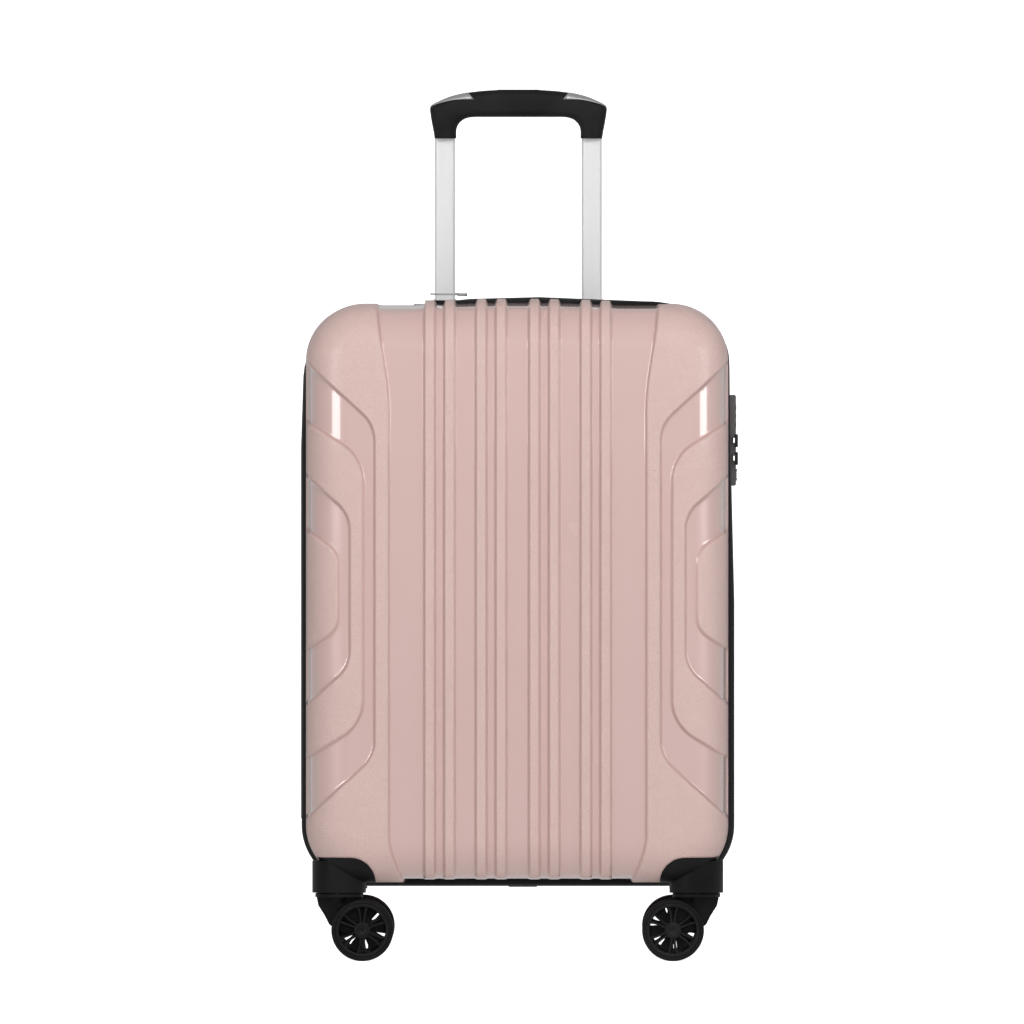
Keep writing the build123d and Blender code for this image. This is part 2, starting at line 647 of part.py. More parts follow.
save("rear_binding", binding(1, REAR_BINDING_START, REAR_EDGE))
save("front_binding", binding(-1, FRONT_BINDING_END, FRONT_EDGE))
save("middle_band", ring(BAND_FRONT, BAND_REAR, TAPE_PROUD, -BINDING_INNER))
gusset_grow = -BINDING_INNER - SEWN_CLEARANCE
save(
    "expander_gusset",
    ring(FRONT_EDGE + 0.5, BAND_REAR - 1, gusset_grow, gusset_grow - GUSSET_WALL),
)
strip_x = BAND_HALF + SEWN_CLEARANCE
save("hinge_strip", block((-strip_x - HINGE_STRIP_T, -strip_x), HINGE_STRIP_Y, HINGE_STRIP_Z))
save(
    "tape_end_cover",
    block(COVER_X, (REAR_BINDING_START + 0.5, REAR_EDGE + 3.5), (BAND_BOTTOM - COVER_T, BAND_BOTTOM)),
)

save("rear_lining", lining(1, REAR_EDGE, REAR_LINING_Y, REAR_LINING_EDGE_R, REAR_LINING_TOP))
save("front_lining", lining(-1, FRONT_EDGE, FACE_Y, FACE_EDGE_R, CASE_TOP))
pocket_y = -FACE_Y + FULL_WALL + LINING_GAP + LINING_WALL
save("mesh_pocket", block((-POCKET_HALF, POCKET_HALF), (pocket_y, pocket_y + POCKET_T), POCKET_Z))
strap_y = REAR_LINING_Y - FULL_WALL - LINING_GAP - LINING_WALL
save("pack_straps", strap_cross(strap_y))
buckle_z = sum(STRAP_Z) / 2
buckle_y = strap_y - STRAP_T - BUCKLE[1] / 2
buckle = Pos(0, buckle_y, buckle_z) * Box(*BUCKLE)
save("strap_buckle", fillet(buckle.edges().filter_by(Axis.Y), 5))

# ================================================================ casters

corner_names = {(-1, -1): "front_left", (-1, 1): "front_right", (1, -1): "rear_left", (1, 1): "rear_right"}
for side, hand in casters:
    name = corner_names[side, hand]
    save(f"{name}_housing", housing(side, hand, REAR_EDGE if side > 0 else FRONT_EDGE))
    save(f"{name}_fork", fork(side, hand))
    save(f"{name}_axle", axle(side, hand))
    save(f"{name}_rims", *[rim(c) for c in wheel_places(side, hand)])
    save(f"{name}_tyres", *[tyre(c) for c in wheel_places(side, hand)])
for side, half in ((-1, "front"), (1, "rear")):
    save(f"{half}_kingpins", *[kingpin(side, hand) for hand in (-1, 1)])
    save(f"{half}_housing_screws", *[s for hand in (-1, 1) for s in housing_screws(side, hand)])

# ================================================================ trolley handle

pair = (-TUBE_X, TUBE_X)
inner_top = GRIP_LEG_BOTTOM + TUBE_IN_GRIP
save(
    "trolley_outer_tubes",
    *[tube(x, OUTER_TUBE, OUTER_TUBE_WALL, OUTER_TUBE_BOTTOM, OUTER_TUBE_TOP) for x in pair],
)
save("trolley_mid_tubes", *[tube(x, MID_TUBE, TUBE_WALL, MID_TUBE_BOTTOM, MID_TUBE_TOP) for x in pair])
save("trolley_inner_tubes", *[tube(x, INNER_TUBE, TUBE_WALL, INNER_TUBE_BOTTOM, inner_top) for x in pair])

bezel = form(1, BEZEL_PROUD, REAR_EDGE) & bezel_block
for x in pair:
    bezel -= tube_space(x, OUTER_TUBE, 0, 0, OUTER_TUBE_TOP)
    bezel -= tube_space(x, MID_TUBE, TUBE_SLIP, OUTER_TUBE_TOP, FAR * 2)
save("trolley_bezel", bezel)

foot = form(1, -FULL_WALL - 0.1, REAR_EDGE) & block(
    (-FOOT_HALF, FOOT_HALF), (TUBE_Y - 9, FAR), (0, OUTER_TUBE_BOTTOM + FOOT_HEIGHT)
)
for x in pair:
    foot -= tube_space(x, OUTER_TUBE, 0, OUTER_TUBE_BOTTOM, FAR)
save("trolley_foot", foot)

grip = grip_solid()
grip = fillet(grip.edges().filter_by(GeomType.LINE).filter_by(Axis.X), GRIP_EDGE_R / 2)
button_low = GRIP_TOP - BUTTON[2]
well = block(
    (-BUTTON[0] / 2 - BUTTON_GAP, BUTTON[0] / 2 + BUTTON_GAP),
    (TUBE_Y - BUTTON[1] / 2 - BUTTON_GAP, TUBE_Y + BUTTON[1] / 2 + BUTTON_GAP),
    (button_low - BUTTON_TRAVEL - BUTTON_GAP, FAR * 2),
)
link_y = (TUBE_Y - LINK[0] / 2, TUBE_Y + LINK[0] / 2)
link = block((-TUBE_X - ROD_R, TUBE_X + ROD_R), link_y, (LINK_BOTTOM, LINK_BOTTOM + LINK[1]))
slot = block(
    (-TUBE_X - ROD_R - BUTTON_GAP, TUBE_X + ROD_R + BUTTON_GAP),
    (link_y[0] - BUTTON_GAP, link_y[1] + BUTTON_GAP),
    (LINK_BOTTOM - BUTTON_TRAVEL - BUTTON_GAP, LINK_BOTTOM + LINK[1] + BUTTON_GAP),
)
neck = block((-NECK, NECK), (TUBE_Y - ROD_R, TUBE_Y + ROD_R), (LINK_BOTTOM + LINK[1], button_low))
neck_space = block(
    (-NECK - BUTTON_GAP, NECK + BUTTON_GAP),
    (TUBE_Y - ROD_R - BUTTON_GAP, TUBE_Y + ROD_R + BUTTON_GAP),
    (LINK_BOTTOM, button_low),
)
grip -= well + slot + neck_space
for x in pair:
    grip -= tube_space(x, INNER_TUBE, 0, 0, inner_top)
    grip -= rod((x, TUBE_Y, LINK_BOTTOM - 8), "Z", ROD_R + BUTTON_GAP, 16)
inlays = []
for s in (-1, 1):
    span = sides((s * (GRIP_HALF - 2), s * (GRIP_HALF - 2 - INLAY_LENGTH)))
    band = block(span, (TUBE_Y - INLAY_DEPTH / 2, TUBE_Y + INLAY_DEPTH / 2), (0, FAR * 2))
    lowered = Pos(0, 0, -INLAY_T) * grip_solid()
    inlays.append((grip_solid() - lowered) & band & block(span, (0, FAR), (GRIP_SHOULDER - 2, FAR * 2)))
for inlay in inlays:
    grip -= inlay
save("trolley_grip", grip)
save("grip_inlays", *inlays)
button = Pos(0, TUBE_Y, button_low + BUTTON[2] / 2) * Box(*BUTTON)
button = fillet(button.edges().filter_by(Axis.Z), 3)
save("grip_button", button)
rods = link + neck
for x in pair:
    rods += rod((x, TUBE_Y, (ROD_BOTTOM + LINK_BOTTOM) / 2), "Z", ROD_R, LINK_BOTTOM - ROD_BOTTOM)
save("push_rods", rods)

# ================================================================ top carry handle

cup = block((-cup_x, cup_x), (CUP_Y - cup_y, CUP_Y + cup_y), (cup_low, CUP_TOP))
well_x, well_y = cup_x - CUP_WALL, cup_y - CUP_WALL
bottom = CUP_TOP - CUP[2]
cup += block(
    (-well_x - 2, well_x + 2), (CUP_Y - well_y - 2, CUP_Y + well_y + 2), (bottom, CUP_TOP - 1)
)
cup -= block((-well_x, well_x), (CUP_Y - well_y, CUP_Y + well_y), (bottom + CUP_FLOOR, FAR * 2))
leg_x = BAIL[0] / 2 - BAIL_LEG[0] / 2
for s in (-1, 1):
    cup -= Pos(s * leg_x, CUP_Y, bottom) * Box(BAIL_LEG[0] + 2 * LEG_GAP, BAIL_LEG[1] + 2 * LEG_GAP, 10)
save("top_handle_cup", cup)

bail_top = CUP_TOP - BAIL_GAP
bail = block(
    (-BAIL[0] / 2, BAIL[0] / 2), (CUP_Y - BAIL[1] / 2, CUP_Y + BAIL[1] / 2), (bail_top - BAIL[2], bail_top)
)
bail = fillet(bail.edges().filter_by(Axis.X), 3)
stop_top = bottom - BAIL_LIFT - BAIL_GAP
for s in (-1, 1):
    leg_height = bail_top - BAIL[2] - stop_top
    bail += Pos(s * leg_x, CUP_Y, stop_top + leg_height / 2) * Box(*BAIL_LEG, leg_height)
    bail += Pos(s * leg_x, CUP_Y, stop_top - BAIL_STOP[2] / 2) * Box(*BAIL_STOP)
save("top_handle", bail)

# ================================================================ lock

lock = block((LOCK_INNER_X, LOCK_X), LOCK_Y, LOCK_Z)
lock = fillet(lock.faces().sort_by(Axis.X)[-1].edges(), 1.5)
dial_x = LOCK_X + DIAL_PROUD - DIAL_R
for z in LOCK_NOTCHES:
    notch = (z - NOTCH_WIDTH / 2, z + NOTCH_WIDTH / 2)
    lock -= block((LOCK_X - NOTCH_DEPTH, FAR), (0, FAR), notch)
    lock -= block((LOCK_X - 4, LOCK_X - 1), (0, LOCK_Y[0] + 5), notch)
dial_zs = [DIAL_FIRST_Z + i * DIAL_PITCH for i in range(3)]
for z in dial_zs:
    lock -= rod((dial_x, DIAL_Y, z), "Z", DIAL_R + DIAL_GAP, DIAL_T + 2 * DIAL_GAP)
shaft_z = (DIAL_FIRST_Z + dial_zs[-1]) / 2
lock += rod((dial_x, DIAL_Y, shaft_z), "Z", DIAL_SHAFT_R, 3 * DIAL_PITCH + 1)
release_low = RELEASE_Z - RELEASE[2] / 2
lock -= block(
    (LOCK_X - RELEASE[0] - BUTTON_GAP, FAR),
    (RELEASE_Y - RELEASE[1] / 2 - BUTTON_GAP, RELEASE_Y + RELEASE[1] / 2 + BUTTON_GAP),
    (release_low - RELEASE_TRAVEL - BUTTON_GAP, release_low + RELEASE[2] + BUTTON_GAP),
)
cylinder_start = LOCK_INNER_X + 2
cylinder_length = LOCK_X - cylinder_start
cylinder_centre = (cylinder_start + cylinder_length / 2, CYLINDER_Y, CYLINDER_Z)
lock -= rod(cylinder_centre, "X", CYLINDER_R + RUNNING, cylinder_length + 0.02)
save("lock_body", lock)
for i, z in enumerate(dial_zs):
    dial = rod((dial_x, DIAL_Y, z), "Z", DIAL_R, DIAL_T)
    for k in range(10):
        turn = radians(36 * k + 18)
        at = (dial_x + (DIAL_R + 0.5) * cos(turn), DIAL_Y + (DIAL_R + 0.5) * sin(turn), z)
        dial -= rod(at, "Z", 0.9, DIAL_T * 2)
    save(f"lock_dial_{i + 1}", dial - rod((dial_x, DIAL_Y, z), "Z", DIAL_SHAFT_R + RUNNING, FAR))
release = block(
    (LOCK_X - RELEASE[0], LOCK_X + 0.8),
    (RELEASE_Y - RELEASE[1] / 2, RELEASE_Y + RELEASE[1] / 2),
    (release_low, release_low + RELEASE[2]),
)
for i in range(3):
    groove = block((LOCK_X + 0.3, FAR), (0, FAR), (release_low + 2.5 + 2 * i, release_low + 3.5 + 2 * i))
    release -= groove
save("lock_release", release)
keyway = block((LOCK_X - 4, FAR), (CYLINDER_Y - 0.6, CYLINDER_Y + 0.6), (CYLINDER_Z - 2.4, CYLINDER_Z + 2.4))
save("lock_cylinder", rod(cylinder_centre, "X", CYLINDER_R, cylinder_length) - keyway)

# ================================================================ zip sliders

main_plane = Plane(origin=(BAND_HALF, MAIN_ZIP_Y, 0), x_dir=(0, 0, -1), z_dir=(1, 0, 0))
main_slider, main_pull = zip_slider(MAIN_PULL_LENGTH)
for z, name in zip(LOCK_NOTCHES, ("lower", "upper")):
    place = Pos(0, 0, z) * main_plane.location
    save(f"zip_slider_{name}", place * main_slider)
    save(f"zip_pull_{name}", place * main_pull)
top_plane = Plane(origin=(EXPANDER_SLIDER_X, EXPANDER_ZIP_Y, BAND_TOP), x_dir=(0, 1, 0), z_dir=(0, 0, 1))
expander_slider, expander_pull = zip_slider(EXPANDER_PULL_LENGTH)
save("expander_slider", top_plane.location * expander_slider)
save("expander_pull", top_plane.location * expander_pull)
print("hinge axis at", -(strip_x + HINGE_STRIP_T / 2), MAIN_ZIP_Y)
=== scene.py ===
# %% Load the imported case
import math

import bmesh
import bpy
import numpy as np
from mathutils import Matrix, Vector


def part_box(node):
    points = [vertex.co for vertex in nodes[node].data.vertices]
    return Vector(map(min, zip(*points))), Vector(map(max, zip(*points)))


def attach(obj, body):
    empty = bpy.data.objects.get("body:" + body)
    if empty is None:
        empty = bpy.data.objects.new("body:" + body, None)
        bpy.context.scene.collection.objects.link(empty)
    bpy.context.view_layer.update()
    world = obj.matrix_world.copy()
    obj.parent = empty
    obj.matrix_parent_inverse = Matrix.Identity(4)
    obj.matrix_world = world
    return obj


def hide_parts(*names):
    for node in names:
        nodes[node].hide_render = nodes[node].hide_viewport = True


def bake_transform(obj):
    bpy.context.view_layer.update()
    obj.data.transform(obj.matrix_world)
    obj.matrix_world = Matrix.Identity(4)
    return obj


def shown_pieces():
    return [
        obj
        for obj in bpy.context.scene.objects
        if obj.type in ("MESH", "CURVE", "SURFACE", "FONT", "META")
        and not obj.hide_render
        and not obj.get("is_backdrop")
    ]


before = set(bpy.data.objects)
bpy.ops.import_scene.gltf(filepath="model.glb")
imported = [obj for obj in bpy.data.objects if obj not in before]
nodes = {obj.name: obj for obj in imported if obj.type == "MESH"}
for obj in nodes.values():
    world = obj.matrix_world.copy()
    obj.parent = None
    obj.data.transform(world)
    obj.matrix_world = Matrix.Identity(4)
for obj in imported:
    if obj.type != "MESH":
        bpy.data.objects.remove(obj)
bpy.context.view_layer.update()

MM = 0.001
print("pieces in the frame:", len(nodes))


# %% [markdown]
# The CAD pieces give the places of everything. We read the few boxes that the looks are built on,
# so that a change of size in the CAD model moves the looks with it.

# %% Sizes read from the frame
shell_low, shell_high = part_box("front_shell")
rear_low, rear_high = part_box("rear_shell")

RELIEF = 2.5 * MM
RIB_PROUD = 1.0 * MM
CORNER_R = 48 * MM
FACE_EDGE_R = 35 * MM
DRAFT = math.tan(math.radians(2))
HALF_WIDTH = shell_high.x
CASE_BOTTOM = shell_low.z
CASE_TOP = shell_high.z - RIB_PROUD
HALF_HEIGHT = (CASE_TOP - CASE_BOTTOM) / 2
MID_Z = (CASE_TOP + CASE_BOTTOM) / 2
FRONT_FACE = shell_low.y + RIB_PROUD
REAR_FACE = rear_high.y - RIB_PROUD
FRONT_EDGE = shell_high.y
REAR_EDGE = rear_low.y
print("case", round(2 * HALF_WIDTH, 4), round(CASE_TOP - CASE_BOTTOM, 4), "faces", FRONT_FACE, REAR_FACE)


# %% [markdown]
# A suitcase is shown from far away with a long lens, so that its sides hardly show.
# The camera stands 28.6 m off, a hair above the middle of the case and to its right, and looks down
# by two thirds of a degree, so that pieces further back sit a little higher in the view.

# %% Camera
CAMERA_DISTANCE = 28.6
CAMERA_YAW = math.radians(0.2)
VIEW_WIDTH = 0.857
AIM = Vector((-0.0048, -0.075, 0.3758))
camera = bpy.data.objects.new("camera", bpy.data.cameras.new("camera"))
bpy.context.scene.collection.objects.link(camera)
camera.data.sensor_width = 36
camera.data.lens = 36 * CAMERA_DISTANCE / VIEW_WIDTH
camera.data.clip_end = 100
CAMERA_PITCH = math.radians(0.66)
away = Vector((math.sin(CAMERA_YAW), -math.cos(CAMERA_YAW), math.tan(CAMERA_PITCH))).normalized()
camera.location = AIM + away * CAMERA_DISTANCE
camera.rotation_euler = (math.pi / 2 - CAMERA_PITCH, 0, CAMERA_YAW)
bpy.context.scene.camera = camera
bpy.context.scene.view_settings.view_transform = "Standard"
print("lens", round(camera.data.lens, 1))


# %% [markdown]
# Shader maths reads best as plain arithmetic. `Val` wraps one socket, and each operator on it adds
# one Math node. `Finish` is one material: its `node` method makes any other node in one call.

# %% Small tools for materials
class Val:
    """A number socket that takes part in Python arithmetic."""

    def __init__(self, tree, socket):
        self.tree = tree
        self.socket = socket

    def math(self, operation, *others):
        node = self.tree.nodes.new("ShaderNodeMath")
        node.operation = operation
        for socket, value in zip(node.inputs, others):
            plug(self.tree, socket, value)
        return Val(self.tree, node.outputs[0])

    def __add__(self, other):
        return self.math("ADD", self, other)

    def __sub__(self, other):
        return self.math("SUBTRACT", self, other)

    def __rsub__(self, other):
        return self.math("SUBTRACT", other, self)

    def __mul__(self, other):
        return self.math("MULTIPLY", self, other)

    __radd__ = __add__
    __rmul__ = __mul__


def plug(tree, socket, value):
    """Link a wrapped socket, or store a plain value."""
    if isinstance(value, Val):
        tree.links.new(value.socket, socket)
    else:
        socket.default_value = value


class Finish:
    """One material with a Principled shader."""

    def __init__(self, name, **constants):
        self.material = bpy.data.materials.new(name)
        self.material.use_nodes = True
        self.tree = self.material.node_tree
        self.shader = self.tree.nodes["Principled BSDF"]
        for key, value in constants.items():
            self.shader.inputs[key.replace("_", " ")].default_value = value

    def node(self, kind, settings=None, values=None, output=0):
        made = self.tree.nodes.new("ShaderNode" + kind)
        for key, value in (settings or {}).items():
            setattr(made, key, value)
        for key, value in (values or {}).items():
            plug(self.tree, made.inputs[key], value)
        return Val(self.tree, made.outputs[output])

    def place(self):
        return self.node("TexCoord", output=3)

    def stretched(self, scale):
        return self.node("Mapping", values={"Vector": self.place(), "Scale": scale})

    def noise(self, scale, detail=2.0, vector=None, rough=0.5):
        values = {"Vector": vector or self.place(), "Scale": scale, "Detail": detail, "Roughness": rough}
        return self.node("TexNoise", values=values)

    def cells(self, scale, vector=None, feature="F1", randomness=1.0):
        values = {"Vector": vector or self.place(), "Scale": scale, "Randomness": randomness}
        return self.node("TexVoronoi", {"feature": feature}, values)

    def ramp(self, factor, low, high):
        """0 below low, 1 above high, smooth between."""
        values = {"Value": factor, "From Min": low, "From Max": high}
        return self.node("MapRange", {"interpolation_type": "SMOOTHSTEP"}, values)

    def attribute(self, name):
        return self.node("Attribute", {"attribute_name": name}, output=2)

    def mix(self, factor, a, b):
        made = self.tree.nodes.new("ShaderNodeMix")
        made.data_type = "RGBA"
        plug(self.tree, made.inputs[0], factor)
        plug(self.tree, made.inputs[6], a)
        plug(self.tree, made.inputs[7], b)
        return Val(self.tree, made.outputs[2])

    def paint(self, key, value):
        plug(self.tree, self.shader.inputs[key], value)

    def bump(self, height, distance, strength=1.0, below=None):
        values = {"Height": height, "Distance": distance, "Strength": strength}
        if below is not None:
            values["Normal"] = below
        made = self.node("Bump", values=values)
        self.paint("Normal", made)
        return made


def srgb(r, g, b):
    """Linear colour from display values of 0 to 255."""
    channels = [c / 255 for c in (r, g, b)]
    return [c / 12.92 if c <= 0.04045 else ((c + 0.055) / 1.055) ** 2.4 for c in channels] + [1.0]


# %% [markdown]
# The shell is pressed from a glossy sheet. The tool leaves a fine pebble grain on the raised panels
# and ribs, and the sunken fields stay smooth. Where a point lies is known when the mesh is made, so
# the mesh carries an attribute, `raised`, and the material mixes the two finishes by it. A second
# attribute is high on the flanks of the panels and ribs, where the material darkens the pink as painted shade.

# %% Shell finish
def shell_finish():
    f = Finish("pressed_shell", Coat_Roughness=0.035, Specular_IOR_Level=0.45, IOR=1.5)
    raised = f.attribute("raised")
    painted_flank_shade = f.attribute("painted_flank_shade")
    cloud = f.noise(9.0, 3.0)
    grain = f.cells(720.0, randomness=0.9)
    fine = f.noise(1200.0, 2.0)
    smooth_pink = f.mix(cloud, srgb(214, 182, 177), srgb(208, 176, 170))
    grain_pink = f.mix(cloud, srgb(218, 189, 183), srgb(213, 182, 175))
    speck = f.mix(f.ramp(grain, 0.3, 0.75) * 0.4, grain_pink, srgb(205, 176, 170))
    flat = f.mix(raised, smooth_pink, speck)
    # Painted shade: the flanks of the panels and ribs are darkened towards a deeper pink.
    f.paint("Base Color", f.mix(painted_flank_shade * 0.75, flat, srgb(186, 146, 138)))
    f.paint("Roughness", 0.24 + raised * 0.26 + cloud * 0.05)
    f.paint("Coat Weight", 0.95 - raised * 0.8)
    f.bump((grain * 0.8 + fine * 0.4) * raised, 0.0006, 0.75)
    return f.material


shell_pink = shell_finish()


# %% [markdown]
# Black parts differ more by their surface than by their colour: woven tape, satin moulded plastic
# with a spark-eroded grain, soft-touch paint on the grip, and hard polyurethane on the wheels.

# %% Black finishes
def moulded(name, colour, roughness, grain_scale=1400.0, depth=0.0002, strength=0.35):
    f = Finish(name, Specular_IOR_Level=0.16)
    cloud = f.noise(22.0, 3.0)
    grain = f.noise(grain_scale, 2.0)
    light = [min(1.0, c * 1.35 + 0.004) for c in colour[:3]] + [1.0]
    f.paint("Base Color", f.mix(f.ramp(cloud, 0.35, 0.7), colour, light))
    f.paint("Roughness", roughness + cloud * 0.10 + grain * 0.06)
    f.bump(grain, depth, strength)
    return f.material


def woven(name, colour, thread, sheen=0.25, twist=1.0):
    """Cloth as two crossed sets of threads, fine enough for tape and lining."""
    f = Finish(name, Sheen_Weight=sheen, Sheen_Roughness=0.5, Specular_IOR_Level=0.25)
    across = f.node("TexWave", {"bands_direction": "Z"}, {"Vector": f.place(), "Scale": thread})
    leaning = {"Vector": f.place(), "Scale": thread * twist}
    along = f.node("TexWave", {"bands_direction": "DIAGONAL"}, leaning)
    cloud = f.noise(35.0, 3.0)
    weave = across * 0.5 + along * 0.5
    light = [min(1.0, c * 1.7 + 0.01) for c in colour[:3]] + [1.0]
    f.paint("Base Color", f.mix(weave * 0.7 + cloud * 0.3, colour, light))
    f.paint("Roughness", 0.72 + weave * 0.2)
    f.bump(weave + cloud * 0.3, 0.0002, 0.6)
    return f.material


black_plastic = moulded("satin_black_plastic", srgb(12, 12, 13), 0.40)
rim_plastic = moulded("rim_plastic", srgb(20, 20, 21), 0.34, 1100.0)
soft_grip = moulded("soft_touch_grip", srgb(19, 19, 20), 0.48, 1800.0, 0.00012)
tyre_black = moulded("polyurethane_tyre", srgb(13, 13, 13), 0.46, 900.0)
lock_grey = moulded("lock_grey", srgb(88, 85, 86), 0.38, 1500.0)
tape_black = woven("zip_tape", srgb(11, 11, 12), 420.0, 0.08)
webbing_black = woven("strap_webbing", srgb(30, 30, 32), 260.0, 0.3)
lining_cloth = woven("lining_cloth", srgb(104, 99, 104), 520.0, 0.35)
coil_black = moulded("nylon_coil", srgb(30, 30, 31), 0.33, 2200.0)


# %% [markdown]
# The handle tubes are drawn aluminium, brushed along their length and anodised to a soft satin.
# Noise stretched along Z gives the brushing: fine lines in roughness and bump, almost none in colour.

# %% Metal finishes
def brushed(name, colour, roughness, across=1800.0, along=8.0, metallic=1.0):
    f = Finish(name, Metallic=metallic)
    lines = f.noise(1.0, 2.0, f.stretched((across, across, along)))
    cloud = f.noise(12.0, 2.0)
    dark = [c * 0.86 for c in colour[:3]] + [1.0]
    f.paint("Base Color", f.mix(lines * 0.6 + cloud * 0.3, colour, dark))
    f.paint("Roughness", roughness + lines * 0.10 + cloud * 0.05)
    f.bump(lines, 0.00006, 0.5)
    return f.material


tube_metal = brushed("satin_tube", srgb(240, 240, 241), 0.40, metallic=0.62)
zip_black = brushed("zip_black", srgb(58, 57, 58), 0.30, 500.0, 500.0, 0.8)
silver_inlay = brushed("silver_inlay", srgb(196, 196, 197), 0.30, 700.0, 700.0, 0.85)
plated_steel = brushed("plated_steel", srgb(170, 170, 174), 0.28, 600.0, 600.0)
zip_metal = brushed("zip_metal", srgb(188, 188, 190), 0.22, 500.0, 500.0)

for name, material in {
    "pack_straps": webbing_black, "strap_buckle": black_plastic,
    "tape_end_cover": tape_black, "hinge_strip": tape_black, "rear_lining": lining_cloth,
    "front_lining": lining_cloth, "mesh_pocket": lining_cloth, "expander_gusset": tape_black,
    "rear_kingpins": plated_steel, "front_kingpins": plated_steel,
    "rear_housing_screws": plated_steel, "front_housing_screws": plated_steel,
    "trolley_outer_tubes": tube_metal, "trolley_mid_tubes": tube_metal,
    "trolley_inner_tubes": tube_metal, "trolley_bezel": black_plastic,
    "trolley_foot": black_plastic, "trolley_grip": soft_grip, "grip_inlays": silver_inlay,
    "grip_button": black_plastic, "push_rods": plated_steel, "top_handle_cup": black_plastic,
    "top_handle": soft_grip, "lock_body": lock_grey, "lock_dial_1": black_plastic,
    "lock_dial_2": black_plastic, "lock_dial_3": black_plastic, "lock_release": black_plastic,
    "lock_cylinder": zip_metal, "zip_slider_upper": zip_metal, "zip_slider_lower": zip_metal,
    "zip_pull_upper": zip_metal, "zip_pull_lower": zip_metal, "expander_slider": zip_metal,
    "expander_pull": zip_metal,
}.items():
    nodes[name].data.materials.clear()
    nodes[name].data.materials.append(material)
corners = [(end, hand) for end in ("front", "rear") for hand in ("left", "right")]
for end, hand in corners:
    for part, material in (
        ("housing", black_plastic), ("fork", black_plastic), ("axle", plated_steel),
        ("rims", rim_plastic), ("tyres", tyre_black),
    ):
        node = nodes[f"{end}_{hand}_{part}"]
        node.data.materials.clear()
        node.data.materials.append(material)


# %% [markdown]
# Meshes are built from numpy grids. `grid_faces` joins the points of a rectangular grid, and
# `mesh_piece` turns points and faces into an object that rides on a body of the frame.

# %% Small tools for meshes
def grid_faces(rows, columns, start=0, closed_rows=False, closed_columns=False):
    """Quads of a grid of points stored row by row."""
    r = np.arange(rows if closed_rows else rows - 1)
    c = np.arange(columns if closed_columns else columns - 1)
    i, j = np.meshgrid(r, c, indexing="ij")
    i2, j2 = (i + 1) % rows, (j + 1) % columns
    quads = np.stack([i * columns + j, i * columns + j2, i2 * columns + j2, i2 * columns + j], -1)
    return (quads.reshape(-1, 4) + start).tolist()


def mesh_piece(name, points, faces, material, body, normals=None, values=None, flip=False):
    mesh = bpy.data.meshes.new(name)
    if flip:
        faces = [face[::-1] for face in faces]
    mesh.from_pydata([tuple(p) for p in np.asarray(points)], [], faces)
    mesh.materials.append(material)
    mesh.shade_smooth()
    for key, data in (values or {}).items():
        made = mesh.attributes.new(key, "FLOAT", "POINT")
        made.data.foreach_set("value", np.asarray(data, np.float32))
    if normals is not None:
        mesh.normals_split_custom_set_from_vertices([tuple(n) for n in normals])
    piece = bpy.data.objects.new(name, mesh)
    bpy.context.scene.collection.objects.link(piece)
    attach(piece, body)
    return piece


def smooth_step(x):
    x = np.clip(x, 0, 1)
    return x * x * (3 - 2 * x)


# %% [markdown]
# The tub of a shell is one surface that runs from the middle of its face, round the edge and down
# the walls. Unroll it flat and it is a sheet with square corners, which is easy to grid: Tub.point
# rolls a point of that sheet back into shape. Corners turn about their own centre. No pressed shell is
# quite square: this one is crowned along its top and a millimetre fuller on its left side.

